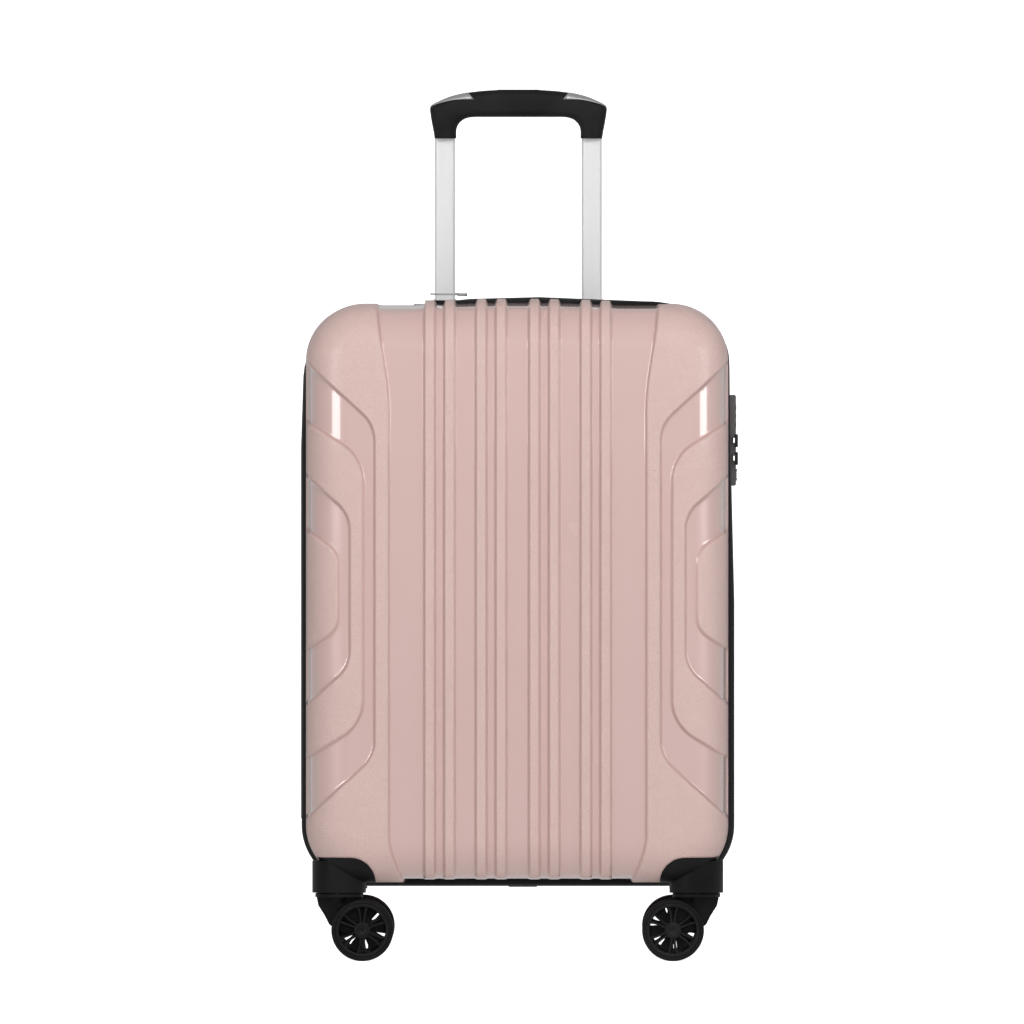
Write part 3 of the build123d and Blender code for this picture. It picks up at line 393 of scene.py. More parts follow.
# %% The tub of a shell
class Tub:
    """The drafted, rounded tub of one half of the case, grown outward by `grow`."""

    def __init__(self, side, grow, face_y, edge_y):
        self.side = side
        self.core_x = HALF_WIDTH - CORNER_R
        self.core_z = HALF_HEIGHT - CORNER_R
        self.depth = abs(face_y - edge_y) + grow
        self.face_y = face_y + side * grow
        self.round = FACE_EDGE_R + grow
        self.wall_r = CORNER_R + grow - (self.depth - self.round) * DRAFT
        self.flat = self.wall_r - self.round
        self.arc = self.round * math.pi / 2
        self.wall = self.depth - self.round
        self.reach = self.flat + self.arc + self.wall

    def profile(self, t):
        """Outward distance, depth below the face, and outward normal, at a length t from the core."""
        turn = np.clip((t - self.flat) / self.round, 0, math.pi / 2)
        down = np.maximum(t - self.flat - self.arc, 0)
        out = np.minimum(t, self.flat) + self.round * np.sin(turn) + down * DRAFT
        depth = self.round * (1 - np.cos(turn)) + down
        return out, depth, np.sin(turn), np.cos(turn)

    def point(self, u, v, height):
        """Roll the flat sheet's points (u, v) into the tub and raise each by height(x, z)."""
        su, sv = np.where(u < 0, -1.0, 1.0), np.where(v < 0, -1.0, 1.0)
        tu = np.maximum(abs(u) - self.core_x, 0)
        tv = np.maximum(abs(v) - self.core_z, 0)
        t = np.maximum(tu, tv)
        ratio = np.minimum(tu, tv) / np.maximum(t, 1e-9)
        angle = np.where(tu >= tv, ratio * math.pi / 4, math.pi / 2 - ratio * math.pi / 4)
        angle = np.where(tv == 0, 0.0, np.where(tu == 0, math.pi / 2, angle))
        out, depth, lean, face = self.profile(t)
        x = su * (np.minimum(abs(u), self.core_x) + out * np.cos(angle))
        z = sv * (np.minimum(abs(v), self.core_z) + out * np.sin(angle))
        upper = smooth_step(z / HALF_HEIGHT)
        z = z + MID_Z + upper * np.maximum(1.0 - 3.0 * (x / (108 * MM)) ** 2, -0.9) * MM
        lift = height(x, z, self.depth - depth)
        x = x - 1.4 * MM * smooth_step((-x - 0.14) / 0.036)
        x = x + su * lean * np.cos(angle) * lift
        z = z + sv * lean * np.sin(angle) * lift
        y = self.face_y - self.side * depth + self.side * face * lift
        return np.stack([x, y, z], -1)

    def grid(self, us, vs, height):
        """Points and normals of the whole sheet."""
        u, v = np.meshgrid(us, vs, indexing="ij")
        step = 0.05 * MM
        here = self.point(u, v, height)
        du = self.point(u + step, v, height) - self.point(u - step, v, height)
        dv = self.point(u, v + step, height) - self.point(u, v - step, height)
        normal = np.cross(du, dv) * -self.side
        normal /= np.maximum(np.linalg.norm(normal, axis=-1, keepdims=True), 1e-12)
        return here, normal


# %% [markdown]
# The relief is a height over each point of the front view. Panels stand 2.5 mm over the sunken
# fields, with flanks 3 mm wide. A chevron is a wedge with a cut-off tip and round corners: the
# distance to a smaller sharp wedge, less the corner's radius, gives its rounded edge. The recesses
# run out before the open edge, which has a plain rim where the zip is sewn on.

# %% The relief pattern
FLANK = 3.4 * MM
RIB_OFFSETS = (13.9, 30.5, 57.0, 73.6)
RIB_TOP, RIB_BASE = 3.0 * MM, 6.0 * MM
CHEVRON_Z = CASE_BOTTOM + 246.1 * MM
CHEVRONS = (
    (191.0, 119.8, 138.6, 30.0),
    (141.5, 129.0, 111.5, 38.0),
    (96.0, 140.4, 64.0, 30.0),
    (51.0, 149.7, 33.0, 20.0),
)


def ray_distance(px, pz, ax, az, dx, dz, length=None):
    """Distance to a ray from (ax, az) along the unit direction (dx, dz), or to a segment."""
    along = np.maximum((px - ax) * dx + (pz - az) * dz, 0)
    if length is not None:
        along = np.minimum(along, length)
    return np.hypot(px - ax - along * dx, pz - az - along * dz)


def chevron_distance(x, z, at_side, inner_x, at_inner, radius):
    """Signed distance inside a chevron's rounded edge, positive towards the side of the case."""
    px, pz = np.abs(x), np.abs(z - CHEVRON_Z)
    at_side, inner_x, at_inner, radius = (v * MM for v in (at_side, inner_x, at_inner, radius))
    run, rise = HALF_WIDTH - inner_x, at_side - at_inner
    length = math.hypot(run, rise)
    dx, dz = run / length, rise / length
    tip_x = inner_x + radius
    tip_z = at_inner - radius * (1 - dz) / dx
    inside = (px >= tip_x) & ((pz - tip_z) * dx <= (px - tip_x) * dz)
    edge = np.minimum(
        ray_distance(px, pz, tip_x, tip_z, dx, dz),
        ray_distance(px, pz, tip_x, 0.0, 0.0, 1.0, tip_z),
    )
    distance = radius + np.where(inside, edge, -edge)
    return np.minimum(distance, at_side - pz)


def central_field(x, z):
    """Signed distance inside the edge of the central field."""
    upper = 9.5 * MM * smooth_step((z - (CASE_TOP - 90 * MM)) / (90 * MM))
    lower = 14.0 * MM * np.clip((CASE_BOTTOM + 40 * MM - z) / (40 * MM), 0, 1) ** 1.6
    return 107.5 * MM + upper - lower - np.abs(x)


def soft_mask(distance, width=FLANK):
    return smooth_step(distance / width + 0.5)


def raised_mask(x, z):
    """1 on panels, 0 in the sunken fields."""
    a, b, c, d = (soft_mask(chevron_distance(x, z, *chevron)) for chevron in CHEVRONS)
    channels = a * (1 - b) + c * (1 - d)
    return (1 - soft_mask(central_field(x, z))) * (1 - channels)


def rib_mask(x, z):
    """1 on the tops of the ribs."""
    mask = 0.0
    for offset in RIB_OFFSETS:
        mask = mask + smooth_step((RIB_BASE - np.abs(np.abs(x) - offset * MM)) / (RIB_BASE - RIB_TOP))
    return mask * smooth_step((z - CASE_BOTTOM - 2.5 * MM) / (7 * MM))


def rim_mask(x, edge):
    """1 on the plain rim beside the zip, where the recesses at the sides run out."""
    beside = smooth_step((np.abs(x) - 150 * MM) / (12 * MM))
    return beside * (1 - smooth_step((edge - 9 * MM) / (4 * MM)))


def relief(x, z, edge):
    over_top = 0.55 * smooth_step((z - (CASE_TOP - 12 * MM)) / (11 * MM))
    raised = 1 - (1 - raised_mask(x, z)) * (1 - rim_mask(x, edge)) * (1 - over_top)
    return RELIEF * raised + (RELIEF + RIB_PROUD) * rib_mask(x, z)


# %% [markdown]
# The grid's lines are close together where the relief turns and far apart where it is flat: ten
# lines across each rib, a fine mesh over the chevrons, and a coarse one between the ribs. The
# inside of the shell is a plain coarse tub. The two are bridged at the open edge and round the
# holes for the carry handle and for the trolley bezel, so that the shell is one closed skin.

# %% Shells
def line_set(*groups, gap=0.35 * MM):
    """Sorted, mirrored grid lines, without any that lie closer than the gap."""
    values = sorted({round(abs(v), 6) for group in groups for v in group})
    kept = []
    for v in values:
        if not kept or v - kept[-1] >= gap:
            kept.append(v)
    return np.array(sorted([-v for v in kept if v > 1e-6] + kept))


def shell_lines(tub, fine):
    flat_end = tub.core_x + tub.flat
    arc_end = flat_end + tub.arc
    wall = np.linspace(arc_end, arc_end + tub.wall, 14)
    ring = np.concatenate([np.arange(tub.core_x, arc_end, fine), wall]) - tub.core_x
    ribs = [
        offset * MM + k * MM
        for offset in RIB_OFFSETS
        for k in (-6.2, -5.6, -4.9, -4.1, -3.4, -2.8, 2.8, 3.4, 4.1, 4.9, 5.6, 6.2)
    ]
    between_ribs = [0.0, 0.004, 0.022, 0.044]
    beside_ribs = np.arange(0.084, tub.core_x, fine)
    us = line_set(between_ribs, ribs, beside_ribs, tub.core_x + ring)
    vs = line_set(np.arange(0, tub.core_z, fine), tub.core_z + ring)
    return us, vs


def even_lines(half, count):
    """Grid lines from -half to half, with the same steps on each side of 0."""
    return np.concatenate([-np.linspace(half, 0, count)[:-1], np.linspace(0, half, count)])


def inside(points, hole):
    low, high = hole
    return np.all((points > low) & (points < high), axis=-1)


def shell_piece(name, side, face_y, edge_y, node, body, holes=()):
    tub = Tub(side, -RELIEF, face_y, edge_y)
    us, vs = shell_lines(tub, (1.3 if side < 0 else 1.9) * MM)
    outer, normal = tub.grid(us, vs, relief)
    mask = raised_mask(outer[..., 0], outer[..., 2])
    rim = rim_mask(outer[..., 0], np.abs(outer[..., 1] - edge_y))
    ribs = rib_mask(outer[..., 0], outer[..., 2])
    raised = np.clip(mask + ribs + rim, 0, 1)
    # Painted shade for the material: high on the flanks of the panels and ribs, where the pink is darkened.
    painted_flank_shade = np.clip(4 * mask * (1 - mask) + 1.6 * ribs * (1 - ribs), 0, 1)
    skin = Tub(side, -RELIEF - 2 * MM, face_y, edge_y)
    inner_us = even_lines(skin.core_x + skin.reach, 42)
    inner_vs = even_lines(skin.core_z + skin.reach, 52)
    inner, inner_normal = skin.grid(inner_us, inner_vs, lambda x, z, edge: 0 * x)
    points = np.concatenate([outer.reshape(-1, 3), inner.reshape(-1, 3)])
    normals = np.concatenate([normal.reshape(-1, 3), -inner_normal.reshape(-1, 3)])
    outer_faces = grid_faces(len(us), len(vs))
    inner_faces = [q[::-1] for q in grid_faces(len(inner_us), len(inner_vs), outer[..., 0].size)]
    faces = outer_faces + inner_faces
    if holes:
        middle = points[np.array(faces)].mean(1)
        cut = np.zeros(len(faces), bool)
        for hole in holes:
            cut |= inside(middle, hole)
        faces = [q for q, gone in zip(faces, cut) if not gone]
    none = np.zeros(inner[..., 0].size)
    values = {
        "raised": np.concatenate([raised.ravel(), none]),
        "painted_flank_shade": np.concatenate([painted_flank_shade.ravel(), none]),
    }
    piece = mesh_piece(name, points, faces, shell_pink, body, values=values, flip=side < 0)
    work = bmesh.new()
    work.from_mesh(piece.data)
    keep = work.verts.layers.int.new("source")
    for v in work.verts:
        v[keep] = v.index
    loose = [v for v in work.verts if not v.link_faces]
    rims = [e for e in work.edges if e.is_boundary]
    bmesh.ops.delete(work, geom=loose, context="VERTS")
    groups = boundary_loops(rims)
    for a, b in pair_loops(groups):
        bmesh.ops.bridge_loops(work, edges=a + b)
    order = [v[keep] for v in work.verts]
    work.verts.layers.int.remove(keep)
    for f in work.faces:
        f.smooth = True
    work.to_mesh(piece.data)
    work.free()
    piece.data.normals_split_custom_set_from_vertices([tuple(n) for n in normals[order]])
    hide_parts(node)
    print(name, len(piece.data.polygons), "faces")
    return piece


def boundary_loops(edges):
    """Groups of connected boundary edges."""
    left, groups = set(edges), []
    while left:
        start = left.pop()
        group, queue = [start], [start]
        while queue:
            edge = queue.pop()
            for vert in edge.verts:
                for other in vert.link_edges:
                    if other in left:
                        left.remove(other)
                        group.append(other)
                        queue.append(other)
        groups.append(group)
    return groups


def pair_loops(groups):
    """Pair each loop with the nearest other loop."""
    def centre(group):
        return sum((v.co for e in group for v in e.verts), Vector()) / (2 * len(group))

    def span(group):
        xs = [v.co.x for e in group for v in e.verts]
        return max(xs) - min(xs)

    groups = sorted(groups, key=span)
    pairs = []
    while len(groups) > 1:
        first = groups.pop(0)
        middle = centre(first)
        best = min(groups, key=lambda g: (centre(g) - middle).length + abs(span(g) - span(first)))
        groups.remove(best)
        pairs.append((first, best))
    return pairs


cup_low, cup_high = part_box("top_handle_cup")
bezel_low, bezel_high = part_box("trolley_bezel")
margin = Vector((3 * MM, 3 * MM, 0))
cup_hole = (np.array(cup_low + margin), np.array(cup_high - margin + Vector((0, 0, 0.02))))
bezel_hole = (
    np.array((bezel_low.x + 5 * MM, bezel_low.y + 4 * MM, bezel_low.z + 6 * MM)),
    np.array((bezel_high.x - 5 * MM, bezel_high.y - 2 * MM, bezel_high.z + 0.02)),
)
shell_piece("front_pressed_shell", -1, FRONT_FACE, FRONT_EDGE, "front_shell", "front_case")
rear_holes = [cup_hole, bezel_hole]
shell_piece("rear_pressed_shell", 1, REAR_FACE, REAR_EDGE, "rear_shell", "rear_case", rear_holes)

# %% [markdown]
# The zip band is a set of sewn strips that run once round the case. Each is swept round the same
# outline: a rounded rectangle at the open edge of the shells. The real band isn't even. It is
# pulled flat over the top corners and stands furthest out low on the sides, so `proud` gives how
# far it stands outside the shell at each point.

# %% The outline of the band
def outline(step):
    """Points of the shells' outline in order, and the outward normal at each."""
    half = Vector((HALF_WIDTH - CORNER_R, HALF_HEIGHT - CORNER_R))
    points, normals = [], []
    for quarter, (sx, sz) in enumerate(((1, 1), (-1, 1), (-1, -1), (1, -1))):
        turns = int(CORNER_R * math.pi / 2 / step)
        for k in range(turns):
            angle = (quarter + (k + 0.5) / turns) * math.pi / 2
            normal = np.array((math.cos(angle), math.sin(angle)))
            points.append(np.array((sx * half.x, sz * half.y + MID_Z)) + normal * CORNER_R)
            normals.append(normal)
        along_x = quarter % 2 == 0
        length = 2 * (half.x if along_x else half.y)
        direction = np.array(((-1.0, 0.0), (0.0, -1.0), (1.0, 0.0), (0.0, 1.0))[quarter])
        normal = np.array(((0.0, 1.0), (-1.0, 0.0), (0.0, -1.0), (1.0, 0.0))[quarter])
        corner = np.array((sx * half.x, sz * half.y + MID_Z)) + normal * CORNER_R
        count = int(length / step)
        for k in range(count + 1):
            points.append(corner + direction * length * k / count)
            normals.append(normal)
    return np.array(points), np.array(normals)


def proud(points, normals):
    """How far the band stands outside the shell, in metres."""
    x, z = points[:, 0] / MM, points[:, 1] / MM
    right = np.interp(z, (300, 386, 487, 515, 535), (4.9, 2.8, 0.6, -0.8, -3.0))
    left = np.interp(z, (430, 489, 510, 528), (4.9, 3.0, 0.4, -3.2))
    side = np.where(x > 0, right, left)
    top_at = (-135, -74, -56, -40, 18, 100, 120, 136)
    top = np.interp(x, top_at, (-3.6, -3.2, 1.4, 3.0, 4.5, 1.2, -0.6, -3.2))
    across = np.where(z > 300, top, 3.0)
    return (side * normals[:, 0] ** 2 + across * normals[:, 1] ** 2) * MM


def band_piece(name, profile, material, body, node, step=2.4 * MM):
    """Sweep a closed profile of (share of proud, extra mm, y mm) round the outline."""
    points, normals = outline(step)
    stand = proud(points, normals)
    share, extra, depth = np.array(profile).T
    offset = stand[:, None] * np.where(stand[:, None] < 0, 1.0, share) + extra * MM
    xz = points[:, None] + normals[:, None] * offset[..., None]
    y = np.broadcast_to(depth * MM, offset.shape)
    grid = np.stack([xz[..., 0], y, xz[..., 1]], -1)
    faces = grid_faces(len(points), len(profile), 0, True, True)
    piece = mesh_piece(name, grid.reshape(-1, 3), faces, material, body)
    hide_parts(node)
    return piece


# %% [markdown]
# A binding is a woven tape folded over the raw edge of a shell, with a thin piping cord sewn in.
# The strip between the two zips has a raised seam on each side.

# %% Bindings and middle band
REAR_PROFILE = [
    (0, -4.6, 3.3), (0.9, -0.6, 3.1), (1, 0, 3.5), (1, 0.15, 4.6), (1, -0.1, 6.0), (1, -0.35, 6.5),
    (1, -0.2, 7.1), (0.92, 0, 9.0), (0.8, 0.05, 10.6), (0.5, 0.5, 11.4), (0.3, 0.9, 12.2),
    (0.1, 0.9, 12.9), (0, 0.4, 13.3), (0, -0.4, 13.3), (0, -4.6, 12.6),
]
front_profile = [(share, extra, -6.0 - y) for share, extra, y in REAR_PROFILE][::-1]
middle_profile = [
    (0, -4.6, -7.8), (0.9, -0.6, -8.0), (1, -0.1, -7.6), (1, 0.1, -6.6), (1, -0.4, -6.0),
    (1, -0.15, -5.2), (1, 0, -3.0), (1, -0.15, -0.8), (1, -0.4, 0.0), (1, 0.1, 0.6),
    (1, -0.1, 1.6), (0.9, -0.6, 2.0), (0, -4.6, 1.8),
]
band_piece("rear_bound_edge", REAR_PROFILE, tape_black, "rear_case", "rear_binding")
band_piece("front_bound_edge", front_profile, tape_black, "front_case", "front_binding")
band_piece("middle_strip", middle_profile, tape_black, "middle_frame", "middle_band")


# %% [markdown]
# The teeth of a coil zip are one nylon filament wound into loops. Seen from outside they are a row
# of fine ridges across the gap between two tapes, one every 1.6 mm.

# %% Zip coils
def coil_piece(name, y, body):
    points, normals = outline(1.6 * MM)
    stand = proud(points, normals)
    along = np.stack([-normals[:, 1], normals[:, 0]], -1)
    corner_signs = [(a, b, c) for a in (-1, 1) for b in (-1, 1) for c in (0, 1)]
    box_faces = [(0, 1, 3, 2), (4, 6, 7, 5), (0, 4, 5, 1), (2, 3, 7, 6), (0, 2, 6, 4), (1, 5, 7, 3)]
    made, faces = [], []
    for k in range(len(points)):
        base = points[k] + normals[k] * (stand[k] - 0.9 * MM)
        shift = (0.12 if k % 2 else -0.12) * MM
        for a, b, c in corner_signs:
            reach = (1.5 - 0.5 * c) * MM
            spot = base + along[k] * a * (0.55 - 0.2 * c) * MM + normals[k] * c * 0.95 * MM
            made.append((spot[0], y + b * reach + shift, spot[1]))
        faces += [tuple(8 * k + i for i in quad) for quad in box_faces]
    return mesh_piece(name, made, faces, coil_black, body)


coil_piece("main_zip_coil", 2.5 * MM, "rear_case")
coil_piece("expander_zip_coil", -8.5 * MM, "middle_frame")


# %% [markdown]
# Moulded and machined parts keep the exact shapes of their CAD pieces, but no real part has knife
# edges. Each is copied, its flat faces are merged, and a small round is put on each sharp edge.

# %% Parts with rounded edges
def rounded_copy(node, body, material, width, segments=3, angle=32):
    source = nodes[node]
    mesh = source.data.copy()
    piece = bpy.data.objects.new(node + "_part", mesh)
    bpy.context.scene.collection.objects.link(piece)
    piece.matrix_world = source.matrix_world.copy()
    work = bmesh.new()
    work.from_mesh(mesh)
    bmesh.ops.remove_doubles(work, verts=work.verts, dist=0.005 * MM)
    bmesh.ops.dissolve_limit(work, angle_limit=math.radians(0.8), verts=work.verts, edges=work.edges)
    work.to_mesh(mesh)
    work.free()
    mesh.materials.clear()
    mesh.materials.append(material)
    mesh.shade_smooth()
    bevel = piece.modifiers.new("edge", "BEVEL")
    bevel.width = width
    bevel.segments = segments
    bevel.limit_method = "ANGLE"
    bevel.angle_limit = math.radians(angle)
    bevel.harden_normals = True
    if body:
        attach(piece, body)
    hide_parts(node)
    return piece


for node, body, material, width in (
    ("lock_body", "rear_case", lock_grey, 0.7), ("lock_release", "lock_button", black_plastic, 0.5),
    ("lock_cylinder", "key_cylinder", zip_metal, 0.3), ("lock_dial_1", "dial_1", black_plastic, 0.25),
    ("lock_dial_2", "dial_2", black_plastic, 0.25), ("lock_dial_3", "dial_3", black_plastic, 0.25),
    ("zip_slider_upper", "upper_slider", zip_black, 0.35), ("zip_pull_upper", "upper_pull", zip_black, 0.3),
    ("zip_slider_lower", "lower_slider", zip_black, 0.35), ("zip_pull_lower", "lower_pull", zip_black, 0.3),
    ("expander_slider", "expander_zip_slider", zip_metal, 0.35),
    ("expander_pull", "expander_zip_pull", zip_metal, 0.35),
    ("trolley_bezel", "rear_case", black_plastic, 0.8), ("grip_button", "release_button", black_plastic, 0.9),
    ("top_handle_cup", "rear_case", black_plastic, 0.8), ("top_handle", "carry_handle", soft_grip, 1.6),
    ("strap_buckle", "rear_case", black_plastic, 0.9), ("tape_end_cover", "rear_case", tape_black, 0.4),
):
    rounded_copy(node, body, material, width * MM)
for end, hand in corners:
    rounded_copy(f"{end}_{hand}_fork", f"{end}_{hand}_swivel", black_plastic, 0.8 * MM)
    case = "rear_case" if end == "rear" else "front_case"
    rounded_copy(f"{end}_{hand}_housing", case, black_plastic, 0.7 * MM)


# %% [markdown]
# A caster wheel is turned on one axis, so its tyre, rim ring and hub are profiles spun round the
# axle. The twelve spokes are thin, slightly bowed blades in six pairs, and one wheel of each twin has
# parts of a web between them. Each wheel has come to rest at
# an angle of its own, so the spokes of the wheels behind show through the openings of the front one.

# %% Wheels
def spun(profile, centre, parts=72):
    """Spin a closed profile of (radius mm, y mm) round a Y axis through the centre."""
    r, y = np.array(profile).T * MM
    turn = np.linspace(0, 2 * math.pi, parts, endpoint=False)[:, None]
    points = np.stack([r * np.cos(turn), np.broadcast_to(y, (parts, len(r))), r * np.sin(turn)], -1)
    return points.reshape(-1, 3) + np.array(centre), grid_faces(parts, len(r), 0, True, True)


SPOKE_SECTION = (
    (-1, -0.75), (-0.6, -1), (0.6, -1), (1, -0.75), (1, 0.75), (0.6, 1), (-0.6, 1), (-1, 0.75),
)


def spoke(centre, angle, lean):
    steps, half = 9, 3.0 * MM
    points = []
    for k in range(steps):
        t = k / (steps - 1)
        r = (6.0 + 14.2 * t) * MM
        a = angle + lean * math.radians(2.5 * math.sin(t * math.pi))
        width = (1.2 - 0.35 * math.sin(t * math.pi)) * MM
        radial = np.array((math.cos(a), 0, math.sin(a)))
        side = np.array((-math.sin(a), 0, math.cos(a)))
        for s, y in SPOKE_SECTION:
            points.append(centre + radial * r + side * s * width + np.array((0, y * half, 0)))
    return np.array(points), grid_faces(steps, 8, 0, False, True)


TYRE_SIDE = [
    (22.6, 4.6), (22.9, 5.0), (23.7, 5.0), (24.1, 4.6),
    (24.5, 4.5), (25.3, 4.2), (25.8, 3.5), (26.0, 2.4),
]
tyre_profile = TYRE_SIDE + [(r, -y) for r, y in TYRE_SIDE[::-1]]
RING_SIDE = [(19.4, 2.0), (19.45, 3.7), (19.9, 4.3), (20.6, 4.5), (22.0, 4.6), (22.6, 4.4)]
ring_profile = RING_SIDE + [(r, -y) for r, y in RING_SIDE[::-1]]
HUB_SIDE = [(0.02, 4.15), (1.9, 4.15), (2.3, 4.4), (5.6, 4.6), (6.7, 4.3), (7.1, 3.4)]
hub_profile = HUB_SIDE + [(r, -y) for r, y in HUB_SIDE[::-1]]


def joined(groups):
    points, faces, start = [], [], 0
    for some, quads in groups:
        points.append(some)
        faces += [tuple(i + start for i in quad) for quad in quads]
        start += len(some)
    return np.concatenate(points), faces


def web_plate(centre, start, y):
    """One sector of the thin web behind the spokes."""
    radii, angles = np.linspace(7, 19.6, 6) * MM, start + np.linspace(0, math.radians(32), 9)
    r, a = np.meshgrid(radii, angles, indexing="ij")
    face = np.stack([r * np.cos(a), np.zeros_like(r), r * np.sin(a)], -1).reshape(-1, 3) + centre
    front, back = face + np.array((0, y + 0.4 * MM, 0)), face + np.array((0, y - 0.4 * MM, 0))
    quads = grid_faces(6, 9)
    rim = [k for k in range(9)] + [9 * k + 8 for k in range(1, 6)]
    rim += [45 + k for k in range(7, -1, -1)] + [9 * k for k in range(4, 0, -1)]
    sides_of = [(rim[k], rim[(k + 1) % len(rim)]) for k in range(len(rim))]
    walls = [(a1, b1, b1 + 54, a1 + 54) for a1, b1 in sides_of]
    back_quads = [tuple(i + 54 for i in q[::-1]) for q in quads]
    return np.concatenate([front, back]), quads + back_quads + walls


for end, hand in corners:
    low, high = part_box(f"{end}_{hand}_tyres")
    middle = (low + high) / 2
    gap = (high.y - low.y) / 2 - 5 * MM
    tyre_groups, rim_groups = [], []
    for s in (-1, 1):
        centre = np.array((middle.x, middle.y + s * gap, middle.z))
        phase = {("front", -1): 0.0, ("front", 1): 0.26, ("rear", -1): 0.13, ("rear", 1): 0.42}[end, s]
        tyre_groups.append(spun(tyre_profile, centre))
        rim_groups += [spun(ring_profile, centre), spun(hub_profile, centre, 48)]
        for k in range(6):
            base = k * math.pi / 3 + 0.52 + phase
            for lean in (1, -1):
                rim_groups.append(spoke(centre, base - lean * math.radians(11), lean))
            if s == 1:
                rim_groups.append(web_plate(centre, base + 0.1, -3.4 * MM))
    wheels = f"{end}_{hand}_wheels"
    tyre = mesh_piece(f"{end}_{hand}_tyre_pair", *joined(tyre_groups), tyre_black, wheels)
    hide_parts(f"{end}_{hand}_tyres")
    rim = mesh_piece(f"{end}_{hand}_rim_pair", *joined(rim_groups), rim_plastic, wheels)
    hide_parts(f"{end}_{hand}_rims")


# %% [markdown]
# The grip is lofted. Each section lies between an inner and an outer point of the front view, from
# one leg over the arch to the other, and is a rounded rectangle in depth. The silver inlays follow
# the same sections, a little further out, over the two shoulders. Each is pointed at its outer end
# and widens inward, until it reaches over the front and back edges of the grip.

# %% Grip
GRIP_PAIRS = (
    (52.2, 0.0, 70.6, 0.0), (52.3, 3.8, 71.2, 4.4), (52.0, 8.0, 72.6, 11.7), (50.2, 12.2, 73.9, 19.5),
    (46.5, 15.7, 74.4, 25.4), (41.5, 17.5, 72.2, 28.6), (36.0, 18.0, 65.0, 32.2), (30.0, 18.0, 55.0, 36.0),
    (24.0, 18.0, 41.0, 38.9), (13.0, 18.0, 22.0, 40.7), (0.0, 18.0, 0.0, 41.2),
)
grip_low, grip_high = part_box("trolley_grip")
grip_y = (grip_low.y + grip_high.y) / 2


def grip_sections(count):
    """Inner and outer points of the sections, smoothed and mirrored."""
    right = np.array(GRIP_PAIRS)
    left = right[-2::-1] * (-1, 1, -1, 1)
    pairs = np.concatenate([right, left])
    t = np.linspace(0, len(pairs) - 1, count)
    i = np.clip(t.astype(int), 0, len(pairs) - 2)
    f = (t - i)[:, None]
    p0, p1, p2, p3 = (pairs[np.clip(i + k, 0, len(pairs) - 1)] for k in (-1, 0, 1, 2))
    smooth = 2 * p1 + (p2 - p0) * f + (2 * p0 - 5 * p1 + 4 * p2 - p3) * f**2
    return (smooth + (3 * p1 - p0 - 3 * p2 + p3) * f**3) / 2


def grip_surface(sections, angles, grow, depth=11.8):
    """Points of the sections at the given angles from straight outward."""
    inner, outer = sections[:, :2], sections[:, 2:]
    middle, reach = (inner + outer) / 2, (outer - inner) / 2
    length = np.linalg.norm(reach, axis=1, keepdims=True)
    angles = np.broadcast_to(angles, (len(sections), angles.shape[-1]))
    out = np.sign(np.cos(angles)) * np.abs(np.cos(angles)) ** 0.55
    side = np.sign(np.sin(angles)) * np.abs(np.sin(angles)) ** 0.55
    xz = middle[:, None] + (reach * (1 + grow / length))[:, None] * out[..., None]
    y = side * (depth + grow) * MM + grip_y
    return np.stack([xz[..., 0] * MM, y, xz[..., 1] * MM + grip_low.z], -1)


sections = grip_sections(97)
around = np.linspace(0, 2 * math.pi, 44, endpoint=False)
surface = grip_surface(sections, around, 0.0)
faces = grid_faces(97, 44, 0, False, True)
faces += [tuple(range(44)), tuple(range(96 * 44 + 43, 96 * 44 - 1, -1))]
grip_piece = mesh_piece("lofted_grip", surface.reshape(-1, 3), faces, soft_grip, "trolley_top")
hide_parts("trolley_grip")

inlay_groups = []
for first, last in ((20, 38), (58, 76)):
    rows = last + 1 - first
    spread = np.linspace(0.3, 1.36, rows) if first < 48 else np.linspace(1.36, 0.3, rows)
    arc = spread[:, None] * np.linspace(-1, 1, 17)
    top = grip_surface(sections[first : last + 1], arc, 0.3)
    low = grip_surface(sections[first : last + 1], arc, -0.8)
    points = np.concatenate([top, low], 1).reshape(-1, 3)
    low_order = np.concatenate([np.arange(17), np.arange(33, 16, -1)])
    quads = []
    for r in range(rows - 1):
        for k in range(34):
            a, b = low_order[k], low_order[(k + 1) % 34]
            quads.append((r * 34 + a, r * 34 + b, (r + 1) * 34 + b, (r + 1) * 34 + a))
    caps = [tuple(int(v) for v in low_order), tuple(int(v) + (rows - 1) * 34 for v in low_order[::-1])]
    inlay_groups.append((points, quads + caps))
inlay_piece = mesh_piece("shoulder_inlays", *joined(inlay_groups), silver_inlay, "trolley_top")
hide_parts("grip_inlays")


# %% [markdown]
# Cloth parts start from their CAD solids too, cut finer and then moved by a smooth wave field, so
# that both faces of the cloth move together and it keeps its thickness. This gives the slack of
# glued lining and the slight waves of sewn tape.

# %% Cloth
def wave_field(points, amplitude, length, seed):
    """A smooth, repeatable displacement, a few sine waves in random directions."""
    rng = np.random.default_rng(seed)
    moved = np.zeros_like(points)
    for _ in range(9):
        direction = rng.normal(size=3)
        direction /= np.linalg.norm(direction)
        push = rng.normal(size=3)
        phase = rng.uniform(0, 2 * math.pi)
        wave = np.sin(points @ direction * 2 * math.pi / (length * rng.uniform(0.7, 1.6)) + phase)
        moved += wave[:, None] * push * amplitude / 4
    return moved


